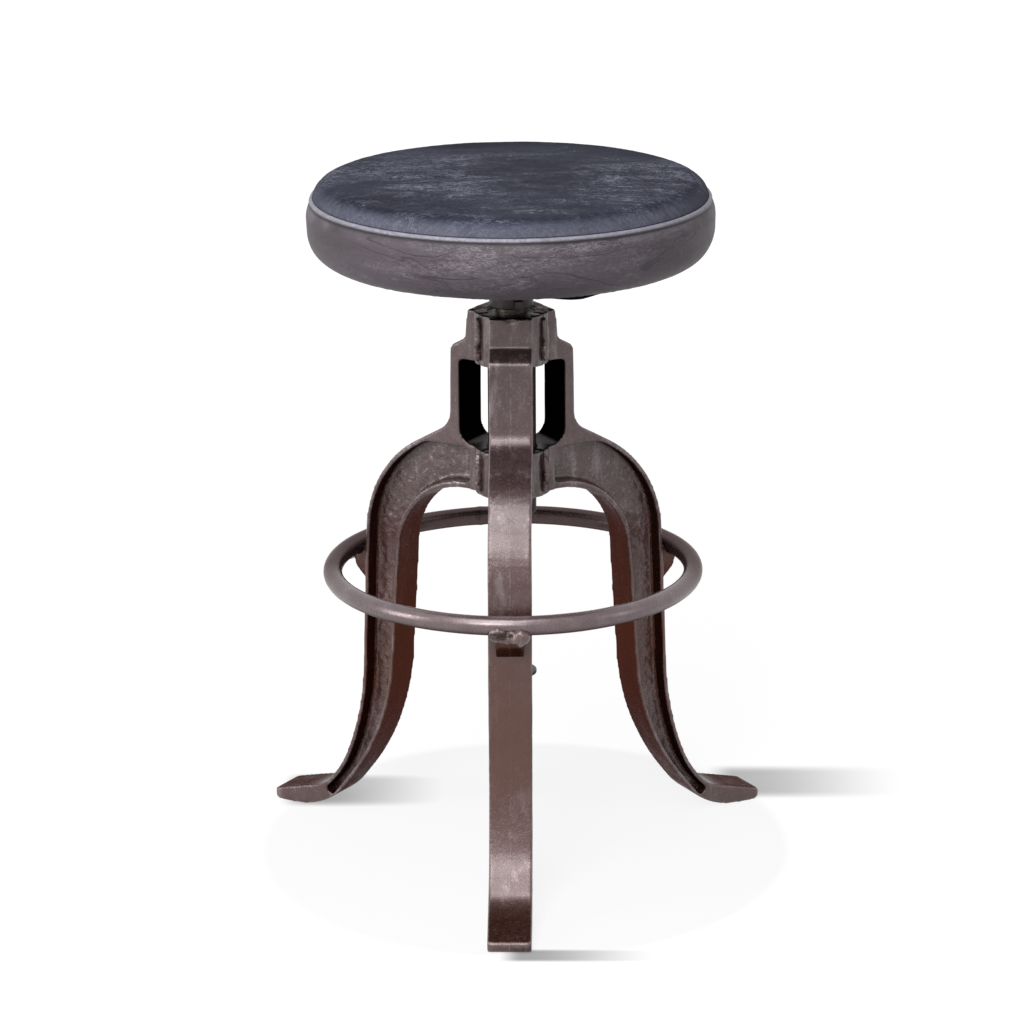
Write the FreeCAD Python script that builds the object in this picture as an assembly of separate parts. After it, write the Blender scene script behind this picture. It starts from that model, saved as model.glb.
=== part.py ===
import FreeCAD, Part
import math
import os

from FreeCAD import Vector

# Machinist stool in millimetres. The origin is on the seat's axis at floor level,
# +Z is up and the front leg points along -Y.
leg_count = 3
front_azimuth = -90.0
side_names = ("front", "right", "left")
seam_names = ("right", "back", "left")

# Sleeve, the nut tube that the castings close round, and the hub's collars
screw_radius = 15.875
screw_clearance = 0.08
sleeve_radius = 24.0
sleeve_fit = 0.05
sleeve_below_arch = 22.0
sleeve_below_hub_top = 2.0
sleeve_end_bend = 3.0
collar_wall = 14.0
collar_radius = sleeve_radius + collar_wall
seam_gap = 0.4

# Hub heights, from the arch under it to its top
arch_height = 380.0
lower_collar_height = 47.0
window_height = 88.0
upper_collar_height = 52.0
window_bottom = arch_height + lower_collar_height
window_top = window_bottom + window_height
hub_top = window_top + upper_collar_height
sleeve_bottom = arch_height - sleeve_below_arch
sleeve_top = hub_top - sleeve_below_hub_top

# Leg section
leg_width = 43.0
inner_flange_setback = 2.0
outer_flange = 4.5
inner_flange = 4.5
arch_flange = 7.0
web_thickness = 10.0

# Window between the sleeve and the leg's upright column
window_depth = 10.5
window_radius = collar_radius + window_depth
window_top_bend = 5.0
window_bottom_bend = 17.0

# Leg outline: its corners seen from the side, down the outer flange and back up the inner
hub_face_step = 0.5
neck_step = 4.0
neck_drop = 30.0
column_top_wall = 10.5
column_top_drop = 39.5
column_foot_wall = 12.0
column_foot_rise = 19.0
knee_rise = 8.2
knee_depth = 42.1
shin_height = 121.0
shin_depth = 33.5
ankle_height = 52.0
instep_height = 27.5
toe_radius = 286.0
toe_thickness = 11.0
knee_setback = 125.4
shin_setback = 114.0
ankle_setback = 86.5
instep_setback = 63.0
foot_length = 66.0
calf_height = 104.0
hub_face_radius = collar_radius + hub_face_step
neck_radius = collar_radius + neck_step
neck_height = hub_top - neck_drop
column_top_radius = window_radius + column_top_wall
column_top_height = hub_top - column_top_drop
column_foot_radius = window_radius + column_foot_wall
column_foot_height = window_bottom + column_foot_rise
knee_radius = toe_radius - knee_setback
knee_height = arch_height + knee_rise
shin_radius = toe_radius - shin_setback
ankle_radius = toe_radius - ankle_setback
instep_radius = toe_radius - instep_setback
heel_radius = toe_radius - foot_length
calf_radius = shin_radius - shin_depth
arch_radius = knee_radius - knee_depth

# Leg outline: bend radii at those corners
hub_edge_bend = 2.0
neck_bend = 3.0
column_top_bend = 9.0
column_foot_bend = 22.0
knee_bend = 125.0
shin_bend = 286.0
ankle_bend = 115.0
instep_bend = 40.0
toe_top_bend = 4.5
toe_bottom_bend = 6.0
toe_plan_bend = 5.0
heel_bend = 80.0
calf_bend = 249.0
arch_bend = 79.0

# Recess between the flanges, on both sides of the web
recess_hub_gap = 0.5
recess_top_drop = 3.0
recess_hub_radius = collar_radius - recess_hub_gap
recess_top = window_bottom - recess_top_drop
recess_top_bend = 9.0
recess_corner_bend = 6.0
recess_crest_bend = 20.0
recess_end_bend = 4.0
recess_root_fillet = 3.5

# Hub weld beads along the seams between castings
hub_bead_radius = 4.0
hub_bead_depth = 1.6
hub_bead_margin = 3.0

# Foot ring, its brackets and its weld beads
ring_height = 298.0
ring_bar_radius = 9.5
ring_gap = 8.0
bracket_width = 27.0
bracket_drop = 37.0
bracket_toe = 1.5
bracket_belly_drop = 23.0
bracket_belly_offset = 15.5
bracket_belly_bend = 9.0
bracket_tip_offset = 20.0
bracket_lip = 1.0
ring_bead_length = 42.0
ring_bead_radius = 7.0
ring_bead_offset = 5.5

# Screw, stop washer and stop bolt; the travel is from the washer up to the sleeve's end
seat_travel = 168.3
screw_chamfer = 1.5
spigot_radius = 13.0
stop_washer_radius = 23.5
stop_washer_thickness = 3.0
stop_washer_play = 0.3
stop_bolt_radius = 6.0
stop_bolt_grip = 24.0
stop_bolt_across_flats = 19.0
stop_bolt_head = 7.5
washer_top = sleeve_bottom - seat_travel
washer_bottom = washer_top - stop_washer_thickness
screw_bottom = washer_top + stop_washer_play
bolt_head_top = washer_bottom - stop_washer_play

# Seat flange with its set screw, plate bolts and nuts
boss_gap = 4.0
boss_radius = 22.0
boss_length = 43.6
boss_bore_end = 8.6
boss_edge_bend = 1.5
flange_plate_radius = 80.0
flange_plate_thickness = 8.0
flange_plate_bend = 2.5
flange_root_bend = 14.0
set_screw_azimuth = -71.5
set_screw_height = 5.5
set_screw_radius = 3.5
set_screw_head = 8.5
set_screw_head_length = 5.5
plate_bolt_count = 4
plate_bolt_circle = 60.0
plate_bolt_radius = 4.0
plate_bolt_clearance = 0.5
plate_bolt_across_flats = 13.0
plate_bolt_head = 5.3
plate_bolt_azimuth = 45.0
tee_nut_barrel = 5.5
tee_nut_length = 12.0
tee_nut_flange = 11.0
tee_nut_flange_thickness = 1.6
boss_bottom = hub_top + boss_gap
plate_bottom = boss_bottom + boss_length
plate_top = plate_bottom + flange_plate_thickness
boss_bore_top = plate_bottom - boss_bore_end

# Seat: its radii are measured inward from the band's bulge, its heights up from the plate
seat_radius = 199.4
leather_thickness = 2.4
dust_cover_thickness = 1.4
board_thickness = 18.0
board_padding = 18.7
board_edge_bend = 8.0
pad_side_height = 38.0
pad_gap = 0.4
band_draw_in = 2.3
band_flap = 38.0
band_bottom_bend = 29.0
band_bulge_drop = 10.7
band_bulge_bend = 29.0
band_top_inset = 4.9
crown_edge_inset = 4.4
crown_edge_rise = 1.5
crown_shoulder_width = 20.0
crown_sphere_radius = 4500.0
crown_shoulder_radius = 21.0
piping_radius = 3.2
piping_inset = 4.8
board_bottom = plate_top + dust_cover_thickness
board_top = board_bottom + board_thickness
seat_bottom = board_bottom - leather_thickness
seam_height = board_top + pad_side_height
band_bottom_radius = seat_radius - band_draw_in
band_flap_radius = band_bottom_radius - band_flap
band_bulge_height = seam_height - band_bulge_drop
band_top_radius = seat_radius - band_top_inset
board_radius = band_bottom_radius - leather_thickness - board_padding
crown_edge_radius = seat_radius - crown_edge_inset
crown_flat_radius = crown_edge_radius - crown_shoulder_width
piping_ring_radius = seat_radius - piping_inset

AXIS = Vector(0, 0, 1)
ORIGIN = Vector(0, 0, 0)
FULL_TURN = 360.0


def meet(line_a, line_b):
    """Point where two lines meet, each given by two (r, z) points."""
    (ax, az), (bx, bz) = line_a
    (cx, cz), (dx, dz) = line_b
    first = ax * bz - az * bx
    second = cx * dz - cz * dx
    divisor = (ax - bx) * (cz - dz) - (az - bz) * (cx - dx)
    r = (first * (cx - dx) - (ax - bx) * second) / divisor
    z = (first * (cz - dz) - (az - bz) * second) / divisor
    return r, z


def turn_at(before, corner, after):
    """Signed turn in radians from one side of a corner to the next; left is positive."""
    heading_in = math.atan2(corner[1] - before[1], corner[0] - before[0])
    heading_out = math.atan2(after[1] - corner[1], after[0] - corner[0])
    return math.remainder(heading_out - heading_in, 2 * math.pi)


def shifted_line(start, end, distance):
    """The line through start and end, moved to its left by distance."""
    length = math.hypot(end[0] - start[0], end[1] - start[1])
    shift_r = -(end[1] - start[1]) / length * distance
    shift_z = (end[0] - start[0]) / length * distance
    moved_start = (start[0] + shift_r, start[1] + shift_z)
    moved_end = (end[0] + shift_r, end[1] + shift_z)
    return moved_start, moved_end


def offset_chain(chain, distance):
    """Open chain of (r, z, bend) corners moved to its left, its bends kept concentric."""
    lines = [shifted_line(a[:2], b[:2], distance) for a, b in zip(chain, chain[1:])]
    moved = [(*lines[0][0], chain[0][2])]
    for index in range(1, len(chain) - 1):
        corner = meet(lines[index - 1], lines[index])
        turn = turn_at(chain[index - 1], chain[index], chain[index + 1])
        bend = chain[index][2] - math.copysign(1.0, turn) * distance
        moved.append((*corner, bend))
    moved.append((*lines[-1][1], chain[-1][2]))
    return moved


def rounded_outline(corners):
    """Closed wire in the XZ plane through (r, z, bend) corners, rounded as far as their sides allow."""
    count = len(corners)
    points = [Vector(r, 0, z) for r, z, bend in corners]
    sides = [points[(k + 1) % count] - points[k] for k in range(count)]
    turns = [
        abs(turn_at(corners[k - 1], corners[k], corners[(k + 1) % count])) for k in range(count)
    ]
    reaches = [corners[k][2] * math.tan(turns[k] / 2) for k in range(count)]
    shares = [
        min(1.0, sides[k].Length / max(reaches[k] + reaches[(k + 1) % count], 1e-9))
        for k in range(count)
    ]
    joints = []
    for k in range(count):
        fit = min(shares[k - 1], shares[k])
        bend = corners[k][2] * fit
        reach = reaches[k] * fit
        back = (sides[k - 1] * -1).normalize()
        onward = Vector(sides[k]).normalize()
        start = points[k] + back * reach
        end = points[k] + onward * reach
        middle = None
        if bend > 0:
            bisector = (back + onward).normalize()
            middle = points[k] + bisector * (math.hypot(reach, bend) - bend)
        joints.append((start, middle, end))
    edges = []
    for k, (start, middle, end) in enumerate(joints):
        if middle is not None:
            edges.append(Part.Arc(start, middle, end).toShape())
        following = joints[(k + 1) % count][0]
        if end.distanceToPoint(following) > 1e-6:
            edges.append(Part.LineSegment(end, following).toShape())
    return Part.Wire(edges)


def slab(wire, low_y, high_y):
    """Prism of an XZ outline between two Y planes."""
    prism = Part.Face(wire).extrude(Vector(0, high_y - low_y, 0))
    prism.translate(Vector(0, low_y, 0))
    return prism


def turned(wire):
    """Solid of revolution of an XZ outline about the seat's axis."""
    return Part.Face(wire).revolve(ORIGIN, AXIS, FULL_TURN)


def cylinder(radius, low_z, high_z):
    """Upright cylinder on the seat's axis."""
    return Part.makeCylinder(radius, high_z - low_z, Vector(0, 0, low_z))


def placed(shape, azimuth):
    """Copy of a shape made along +X, turned about the seat's axis."""
    copy = shape.copy()
    copy.rotate(ORIGIN, AXIS, azimuth)
    return copy


def cleaned(shape):
    """Single solid of a boolean result, with its split faces merged."""
    return shape.removeSplitter().Solids[0]


def hexagon(across_flats, low_z, high_z):
    """Upright hexagonal prism on the axis."""
    corner = across_flats / 2 / math.cos(math.pi / 6)
    points = [
        Vector(corner * math.cos(math.radians(60 * k)), corner * math.sin(math.radians(60 * k)), low_z)
        for k in range(7)
    ]
    return Part.Face(Part.makePolygon(points)).extrude(Vector(0, 0, high_z - low_z))


# Leg outline as two chains: the outer flange from hub to toe, and the inner from heel to hub
outer_chain = [
    (hub_face_radius, hub_top, hub_edge_bend),
    (neck_radius, neck_height, neck_bend),
    (column_top_radius, column_top_height, column_top_bend),
    (column_foot_radius, column_foot_height, column_foot_bend),
    (knee_radius, knee_height, knee_bend),
    (shin_radius, shin_height, shin_bend),
    (ankle_radius, ankle_height, ankle_bend),
    (instep_radius, instep_height, instep_bend),
    (toe_radius, toe_thickness, toe_top_bend),
]
inner_chain = [
    (toe_radius, 0.0, toe_bottom_bend),
    (heel_radius, 0.0, heel_bend),
    (calf_radius, calf_height, calf_bend),
    (arch_radius, arch_height, arch_bend),
    (0.0, arch_height, 0.0),
]


def leg_face_radius(height):
    """Radius of the outer flange's face on its long straight stretch."""
    level = ((0.0, height), (toe_radius, height))
    shin_line = ((knee_radius, knee_height), (shin_radius, shin_height))
    return meet(level, shin_line)[0]


ring_radius = leg_face_radius(ring_height) + ring_gap + ring_bar_radius


def recess_outline():
    """Outline of the hollow between the flanges, set in from both by their thicknesses."""
    outer = offset_chain(outer_chain, -outer_flange)
    inner = offset_chain(inner_chain, -inner_flange)
    slope = (outer[3][:2], outer[4][:2])
    heel = (inner[1][:2], inner[2][:2])
    shank = (inner[2][:2], inner[3][:2])
    end = outer[7][:2]
    square_to_heel = (end[0] + heel[1][1] - heel[0][1], end[1] + heel[0][0] - heel[1][0])
    top_line = ((0.0, recess_top), (toe_radius, recess_top))
    floor_line = ((0.0, arch_height + arch_flange), (toe_radius, arch_height + arch_flange))
    return rounded_outline(
        [
            (recess_hub_radius, recess_top, recess_top_bend),
            (*meet(top_line, slope), recess_crest_bend),
            outer[4],
            outer[5],
            outer[6],
            (*end, recess_end_bend),
            (*meet((end, square_to_heel), heel), recess_end_bend),
            inner[2],
            (*meet(floor_line, shank), inner[3][2]),
            (recess_hub_radius, arch_height + arch_flange, recess_corner_bend),
        ]
    )


def recess_tool(side):
    """Cutter for one side's recess, with a fillet where its walls meet the web."""
    depth = (leg_width - web_thickness) / 2
    tool = slab(recess_outline(), web_thickness / 2, web_thickness / 2 + depth)
    root_edges = [e for e in tool.Edges if e.BoundBox.YMax < web_thickness / 2 + 0.01]
    tool = tool.makeFillet(recess_root_fillet, root_edges)
    if side < 0:
        tool = tool.mirror(ORIGIN, Vector(0, 1, 0))
    return tool


def inner_flange_trim(side):
    """Cutter that narrows the inner flange towards the arch and runs out at the foot."""
    inner = offset_chain(inner_chain, -inner_flange)
    floor_line = ((0.0, arch_height + arch_flange), (toe_radius, arch_height + arch_flange))
    shank = (inner[2][:2], inner[3][:2])
    band = rounded_outline(
        [
            (*inner[1][:2], 0.0),
            inner[2],
            (*meet(floor_line, shank), inner[3][2]),
            (recess_hub_radius, arch_height + arch_flange, 0.0),
            (recess_hub_radius, 0.0, 0.0),
        ]
    )
    half = leg_width / 2
    narrow = half - inner_flange_setback
    slant = [
        Vector(0, narrow, hub_top),
        Vector(0, narrow, arch_height),
        Vector(0, half, ankle_height),
        Vector(0, leg_width, ankle_height),
        Vector(0, leg_width, hub_top),
        Vector(0, narrow, hub_top),
    ]
    wedge = Part.Face(Part.makePolygon(slant)).extrude(Vector(toe_radius, 0, 0))
    tool = slab(band, 0.0, leg_width).common(wedge)
    if side < 0:
        tool = tool.mirror(ORIGIN, Vector(0, 1, 0))
    return tool


def sector_wedge():
    """Upright wedge that is one casting's share of the hub."""
    half_angle = math.pi / leg_count
    apex = Vector(seam_gap / 2 / math.sin(half_angle), 0, 0)
    reach = 2 * toe_radius
    across = reach * math.tan(half_angle)
    right = apex + Vector(reach, -across, 0)
    left = apex + Vector(reach, across, 0)
    points = [apex, right, left, apex]
    return Part.Face(Part.makePolygon(points)).extrude(Vector(0, 0, hub_top))


def foot_plan():
    """Upright prism with the toe's rounded corners, which trims the leg in plan."""
    half = leg_width / 2
    start = -leg_width
    face_corners = [
        (start, -half, 0.0),
        (toe_radius, -half, toe_plan_bend),
        (toe_radius, half, toe_plan_bend),
        (start, half, 0.0),
    ]
    wire = rounded_outline(face_corners)
    wire.rotate(ORIGIN, Vector(1, 0, 0), -90)
    return Part.Face(wire).extrude(Vector(0, 0, hub_top))


def leg_casting():
    """One iron casting along +X: I-section leg, window, recesses and two collar sectors."""
    half = leg_width / 2
    hub_line = [(0.0, hub_top, 0.0)]
    leg = slab(rounded_outline(hub_line + outer_chain + inner_chain), -half, half)
    leg = leg.common(foot_plan())
    window = rounded_outline(
        [
            (0.0, window_bottom, 0.0),
            (window_radius, window_bottom, window_bottom_bend),
            (window_radius, window_top, window_top_bend),
            (0.0, window_top, 0.0),
        ]
    )
    leg = leg.cut(slab(window, -leg_width, leg_width))
    for side in (1, -1):
        leg = leg.cut(recess_tool(side))
        leg = leg.cut(inner_flange_trim(side))
    upper_collar = cylinder(collar_radius, window_top, hub_top)
    lower_collar = cylinder(collar_radius, arch_height, window_bottom)
    leg = leg.fuse([upper_collar, lower_collar]).common(sector_wedge())
    leg = leg.cut(cylinder(sleeve_radius + sleeve_fit, 0.0, hub_top))
    return cleaned(leg)


def sleeve():
    """Steel nut tube, bored to pass the screw."""
    bore = screw_radius + screw_clearance
    return turned(
        rounded_outline(
            [
                (bore, sleeve_bottom, 0.0),
                (sleeve_radius, sleeve_bottom, sleeve_end_bend),
                (sleeve_radius, sleeve_top, 1.0),
                (bore, sleeve_top, 0.0),
            ]
        )
    )


def round_ended(radius, start, end):
    """Bead along a straight line, with a half ball at each end."""
    along = end - start
    bead = Part.makeCylinder(radius, along.Length, start, along)
    for tip in (start, end):
        bead = bead.fuse(Part.makeSphere(radius, tip))
    return cleaned(bead)


def hub_bead(low_z, high_z):
    """Weld bead standing on a collar's outside along one seam."""
    centre = collar_radius + hub_bead_radius / 2 - hub_bead_depth
    inset = hub_bead_margin + hub_bead_radius
    bead = round_ended(hub_bead_radius, Vector(centre, 0, low_z + inset), Vector(centre, 0, high_z - inset))
    return cleaned(bead.cut(cylinder(collar_radius, 0.0, hub_top)))


def ring_bar():
    """Foot ring: one round bar bent to a circle."""
    return Part.makeTorus(ring_radius, ring_bar_radius, Vector(0, 0, ring_height))


def ring_bracket():
    """Gusset from the leg's outer face to the ring's underside, rounded in below."""
    bracket_bottom = ring_height - bracket_drop
    belly_height = ring_height - bracket_belly_drop
    foot = leg_face_radius(bracket_bottom)
    belly = leg_face_radius(belly_height) + bracket_belly_offset
    tip_height = ring_height - ring_bar_radius - bracket_lip
    tip_radius = leg_face_radius(tip_height) + bracket_tip_offset
    profile = rounded_outline(
        [
            (leg_face_radius(ring_height), ring_height, 0.0),
            (foot, bracket_bottom, 0.0),
            (foot + bracket_toe, bracket_bottom, 0.0),
            (belly, belly_height, bracket_belly_bend),
            (tip_radius, tip_height, 0.0),
            (ring_radius, ring_height, 0.0),
        ]
    )
    half = bracket_width / 2
    return cleaned(slab(profile, -half, half).cut(ring_bar()))


def ring_bead():
    """Weld bead along the ring, between its underside and the bracket's tip."""
    centre_r = ring_radius + ring_bead_offset
    centre_z = ring_height - ring_bar_radius
    reach = ring_bead_length / 2 - ring_bead_radius
    bead = round_ended(
        ring_bead_radius, Vector(centre_r, -reach, centre_z), Vector(centre_r, reach, centre_z)
    )
    return cleaned(bead.cut(ring_bar()).cut(ring_bracket()))


def screw():
    """Seat screw at its thread's full diameter, with the spigot that the boss sits on."""
    body = turned(
        rounded_outline(
            [
                (0.0, screw_bottom, 0.0),
                (screw_radius - screw_chamfer, screw_bottom, 0.0),
                (screw_radius, screw_bottom + screw_chamfer, 0.0),
                (screw_radius, boss_bottom, 0.0),
                (spigot_radius, boss_bottom, 0.0),
                (spigot_radius, boss_bore_top, 0.0),
                (0.0, boss_bore_top, 0.0),
            ]
        )
    )
    return cleaned(body.cut(cylinder(stop_bolt_radius, screw_bottom, screw_bottom + stop_bolt_grip)))


def stop_washer():
    """Loose disc that meets the sleeve's end when the seat is fully raised."""
    disc = cylinder(stop_washer_radius, washer_bottom, washer_top)
    return disc.cut(cylinder(stop_bolt_radius + stop_washer_play, washer_bottom, washer_top))


def stop_bolt():
    """Hexagon bolt into the screw's end that keeps the stop washer on."""
    head = hexagon(stop_bolt_across_flats, bolt_head_top - stop_bolt_head, bolt_head_top)
    shank = cylinder(stop_bolt_radius, bolt_head_top, screw_bottom + stop_bolt_grip)
    return cleaned(head.fuse(shank))


def plate_bolt_places():
    """Centres of the plate bolts as azimuths."""
    step = FULL_TURN / plate_bolt_count
    return [plate_bolt_azimuth + step * k for k in range(plate_bolt_count)]


def round_at_bolts(radius, low_z, high_z):
    """Upright cylinders on the plate bolts' circle."""
    one = cylinder(radius, low_z, high_z)
    one.translate(Vector(plate_bolt_circle, 0, 0))
    return [placed(one, azimuth) for azimuth in plate_bolt_places()]


def set_screw():
    """Square-headed screw through the boss's wall against the spigot."""
    height = boss_bottom + set_screw_height
    start = Vector(spigot_radius, 0, height)
    shank = Part.makeCylinder(set_screw_radius, boss_radius - spigot_radius, start, Vector(1, 0, 0))
    half = set_screw_head / 2
    corner = Vector(boss_radius, -half, height - half)
    head = Part.makeBox(set_screw_head_length, set_screw_head, set_screw_head, corner)
    return placed(cleaned(shank.fuse(head)), set_screw_azimuth)


def seat_flange():
    """Iron boss and round plate in one piece, turned, bored and drilled."""
    body = turned(
        rounded_outline(
            [
                (spigot_radius, boss_bottom, 0.0),
                (boss_radius, boss_bottom, boss_edge_bend),
                (boss_radius, plate_bottom, flange_root_bend),
                (flange_plate_radius, plate_bottom, flange_plate_bend),
                (flange_plate_radius, plate_top, 0.0),
                (0.0, plate_top, 0.0),
                (0.0, boss_bore_top, 0.0),
                (spigot_radius, boss_bore_top, 0.0),
            ]
        )
    )
    holes = round_at_bolts(plate_bolt_radius + plate_bolt_clearance, plate_bottom, plate_top)
    return cleaned(body.cut(holes).cut(set_screw()))


def plate_bolts():
    """Hexagon bolts up through the plate into the nuts in the board."""
    bolts = []
    for azimuth in plate_bolt_places():
        head = hexagon(plate_bolt_across_flats, plate_bottom - plate_bolt_head, plate_bottom)
        shank = cylinder(plate_bolt_radius, plate_bottom, board_top - tee_nut_flange_thickness)
        bolt = cleaned(head.fuse(shank))
        bolt.translate(Vector(plate_bolt_circle, 0, 0))
        bolts.append(placed(bolt, azimuth))
    return bolts


def tee_nuts():
    """Nuts let into the board from above, each a barrel under a thin round flange."""
    flange_bottom = board_top - tee_nut_flange_thickness
    barrel_bottom = board_top - tee_nut_length
    nuts = []
    for azimuth in plate_bolt_places():
        nut = cylinder(tee_nut_barrel, barrel_bottom, board_top)
        nut = nut.fuse(cylinder(tee_nut_flange, flange_bottom, board_top))
        nut = nut.cut(cylinder(plate_bolt_radius, barrel_bottom, board_top))
        nut = cleaned(nut)
        nut.translate(Vector(plate_bolt_circle, 0, 0))
        nuts.append(placed(nut, azimuth))
    return nuts


def seat_board():
    """Round plywood board with rounded edges, drilled for the bolts and nuts."""
    board = turned(
        rounded_outline(
            [
                (0.0, board_bottom, 0.0),
                (board_radius, board_bottom, board_edge_bend),
                (board_radius, board_top, board_edge_bend),
                (0.0, board_top, 0.0),
            ]
        )
    )
    passages = round_at_bolts(plate_bolt_radius + plate_bolt_clearance, board_bottom, board_top)
    barrels = round_at_bolts(tee_nut_barrel, board_top - tee_nut_length, board_top)
    rims = round_at_bolts(tee_nut_flange, board_top - tee_nut_flange_thickness, board_top)
    return cleaned(board.cut(passages + barrels + rims))


def dust_cover():
    """Black cloth disc over the board's underside, inside the band's flap."""
    cover = cylinder(band_flap_radius, board_bottom - dust_cover_thickness, board_bottom)
    holes = round_at_bolts(
        plate_bolt_radius + plate_bolt_clearance, board_bottom - dust_cover_thickness, board_bottom
    )
    return cleaned(cover.cut(holes))


# Band outline from the seam down and in under the board
band_chain = [
    (band_top_radius, seam_height, 0.0),
    (seat_radius, band_bulge_height, band_bulge_bend),
    (band_bottom_radius, seat_bottom, band_bottom_bend),
    (band_flap_radius, seat_bottom, 0.0),
]


def piping(gap=0.0):
    """Leather-covered cord in the seam between the top and the band, or its room with a gap."""
    return Part.makeTorus(piping_ring_radius, piping_radius + gap, Vector(0, 0, seam_height))


def side_band():
    """Boxing band of even thickness, full below the seam, drawn in downward, turned under."""
    inner = offset_chain(band_chain, -leather_thickness)
    outline = rounded_outline(band_chain + inner[::-1])
    return cleaned(turned(outline).cut(piping()))


def crown_solid(inset):
    """Body under the crowned top, with its arcs moved in by inset about their own centres."""
    base = seam_height
    edge_height = base + crown_edge_rise
    shoulder_start = math.asin(crown_flat_radius / crown_sphere_radius)
    run = (crown_edge_radius - crown_flat_radius) / crown_shoulder_radius
    shoulder_end = math.asin(math.sin(shoulder_start) + run)
    shoulder_r = crown_edge_radius - crown_shoulder_radius * math.sin(shoulder_end)
    shoulder_z = edge_height - crown_shoulder_radius * math.cos(shoulder_end)
    reach = crown_sphere_radius - crown_shoulder_radius
    sphere_z = shoulder_z - reach * math.cos(shoulder_start)

    def on_arc(centre_r, centre_z, radius, angle):
        return Vector(centre_r + radius * math.sin(angle), 0, centre_z + radius * math.cos(angle))

    sphere = crown_sphere_radius - inset
    shoulder = crown_shoulder_radius - inset
    top = on_arc(0.0, sphere_z, sphere, 0.0)
    flat_middle = on_arc(0.0, sphere_z, sphere, shoulder_start / 2)
    join = on_arc(0.0, sphere_z, sphere, shoulder_start)
    bend_middle = on_arc(shoulder_r, shoulder_z, shoulder, (shoulder_start + shoulder_end) / 2)
    edge = on_arc(shoulder_r, shoulder_z, shoulder, shoulder_end)
    floor_edge = Vector(crown_edge_radius - inset, 0, base)
    skirt = Vector(crown_edge_radius - inset, 0, edge.z)
    edges = [
        Part.Arc(top, flat_middle, join).toShape(),
        Part.Arc(join, bend_middle, edge).toShape(),
    ]
    if edge.distanceToPoint(skirt) > 1e-6:
        edges.append(Part.LineSegment(edge, skirt).toShape())
    edges.append(Part.LineSegment(skirt, floor_edge).toShape())
    edges.append(Part.LineSegment(floor_edge, Vector(0, 0, base)).toShape())
    edges.append(Part.LineSegment(Vector(0, 0, base), top).toShape())
    return turned(Part.Wire(edges))


def leather_top():
    """Crowned leather round of even thickness, meeting the piping at its edge."""
    return cleaned(crown_solid(0.0).cut(crown_solid(leather_thickness)).cut(piping()))


def foam_pad():
    """Pad that fills the leather from the board up to the crown and laps the board's edge."""
    inner = offset_chain(band_chain, -leather_thickness - pad_gap)
    seam_level = ((0.0, seam_height), (seat_radius, seam_height))
    top_wall = (inner[0][:2], inner[1][:2])
    sides = turned(
        rounded_outline(
            [
                (0.0, inner[2][1], 0.0),
                inner[2],
                inner[1],
                (*meet(seam_level, top_wall), 0.0),
                (0.0, seam_height, 0.0),
            ]
        )
    )
    board_room = cylinder(board_radius + pad_gap, 0.0, board_top)
    lap_bottom = board_bottom + board_edge_bend
    sides = sides.cut(board_room).cut(cylinder(seat_radius, 0.0, lap_bottom))
    crown = crown_solid(leather_thickness + pad_gap)
    return cleaned(sides.fuse(crown).cut(piping(pad_gap)))


def export(name, solids):
    """Write one node's solids to its file and print its count and volume."""
    shape = solids[0] if len(solids) == 1 else Part.makeCompound(solids)
    shape.exportStep(f"parts/{name}.step")
    volume = sum(solid.Volume for solid in solids)
    sound = all(solid.isValid() for solid in solids)
    print(f"{name}: {len(solids)} solid(s), {volume / 1000:.1f} cm3, valid {sound}")


os.makedirs("parts", exist_ok=True)
sector = FULL_TURN / leg_count
leg = leg_casting()
bracket = ring_bracket()
bead = ring_bead()
upper_bead = hub_bead(window_top, hub_top)
lower_bead = hub_bead(arch_height, window_bottom)
for index in range(leg_count):
    azimuth = front_azimuth + sector * index
    export(f"leg_{side_names[index]}", [placed(leg, azimuth)])
    export(f"ring_bracket_{side_names[index]}", [placed(bracket, azimuth)])
    export(f"ring_weld_{side_names[index]}", [placed(bead, azimuth)])
    seam = azimuth + sector / 2
    export(f"hub_weld_upper_{seam_names[index]}", [placed(upper_bead, seam)])
    export(f"hub_weld_lower_{seam_names[index]}", [placed(lower_bead, seam)])
export("sleeve", [sleeve()])
export("foot_ring", [ring_bar()])
export("screw", [screw()])
export("stop_washer", [stop_washer()])
export("stop_bolt", [stop_bolt()])
export("seat_flange", [seat_flange()])
export("set_screw", [set_screw()])
export("flange_bolts", plate_bolts())
export("tee_nuts", tee_nuts())
export("seat_board", [seat_board()])
export("dust_cover", [dust_cover()])
export("side_band", [side_band()])
export("piping", [piping()])
export("foam_pad", [foam_pad()])
export("leather_top", [leather_top()])
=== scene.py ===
import math

import bmesh
import bpy
import numpy as np
from mathutils import Matrix, Vector


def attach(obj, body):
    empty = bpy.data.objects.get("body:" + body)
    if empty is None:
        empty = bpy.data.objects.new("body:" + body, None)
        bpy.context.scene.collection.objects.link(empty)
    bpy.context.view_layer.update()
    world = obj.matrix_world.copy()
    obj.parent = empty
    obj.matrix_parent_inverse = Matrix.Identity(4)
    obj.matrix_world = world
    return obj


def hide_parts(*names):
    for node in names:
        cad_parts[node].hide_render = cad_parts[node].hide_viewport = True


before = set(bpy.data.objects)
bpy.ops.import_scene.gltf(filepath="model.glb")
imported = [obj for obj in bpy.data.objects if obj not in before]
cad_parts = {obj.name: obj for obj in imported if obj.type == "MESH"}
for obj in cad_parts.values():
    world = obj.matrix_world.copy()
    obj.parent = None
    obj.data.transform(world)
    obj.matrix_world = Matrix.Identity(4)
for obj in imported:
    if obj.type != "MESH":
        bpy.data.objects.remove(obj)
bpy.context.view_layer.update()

# Camera: a long lens at standing height, in front of the stool and a little to its right,
# pitched down to the hub and rolled a third of a degree.
IMAGE_WIDTH, SENSOR_WIDTH = 1024, 36
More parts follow.
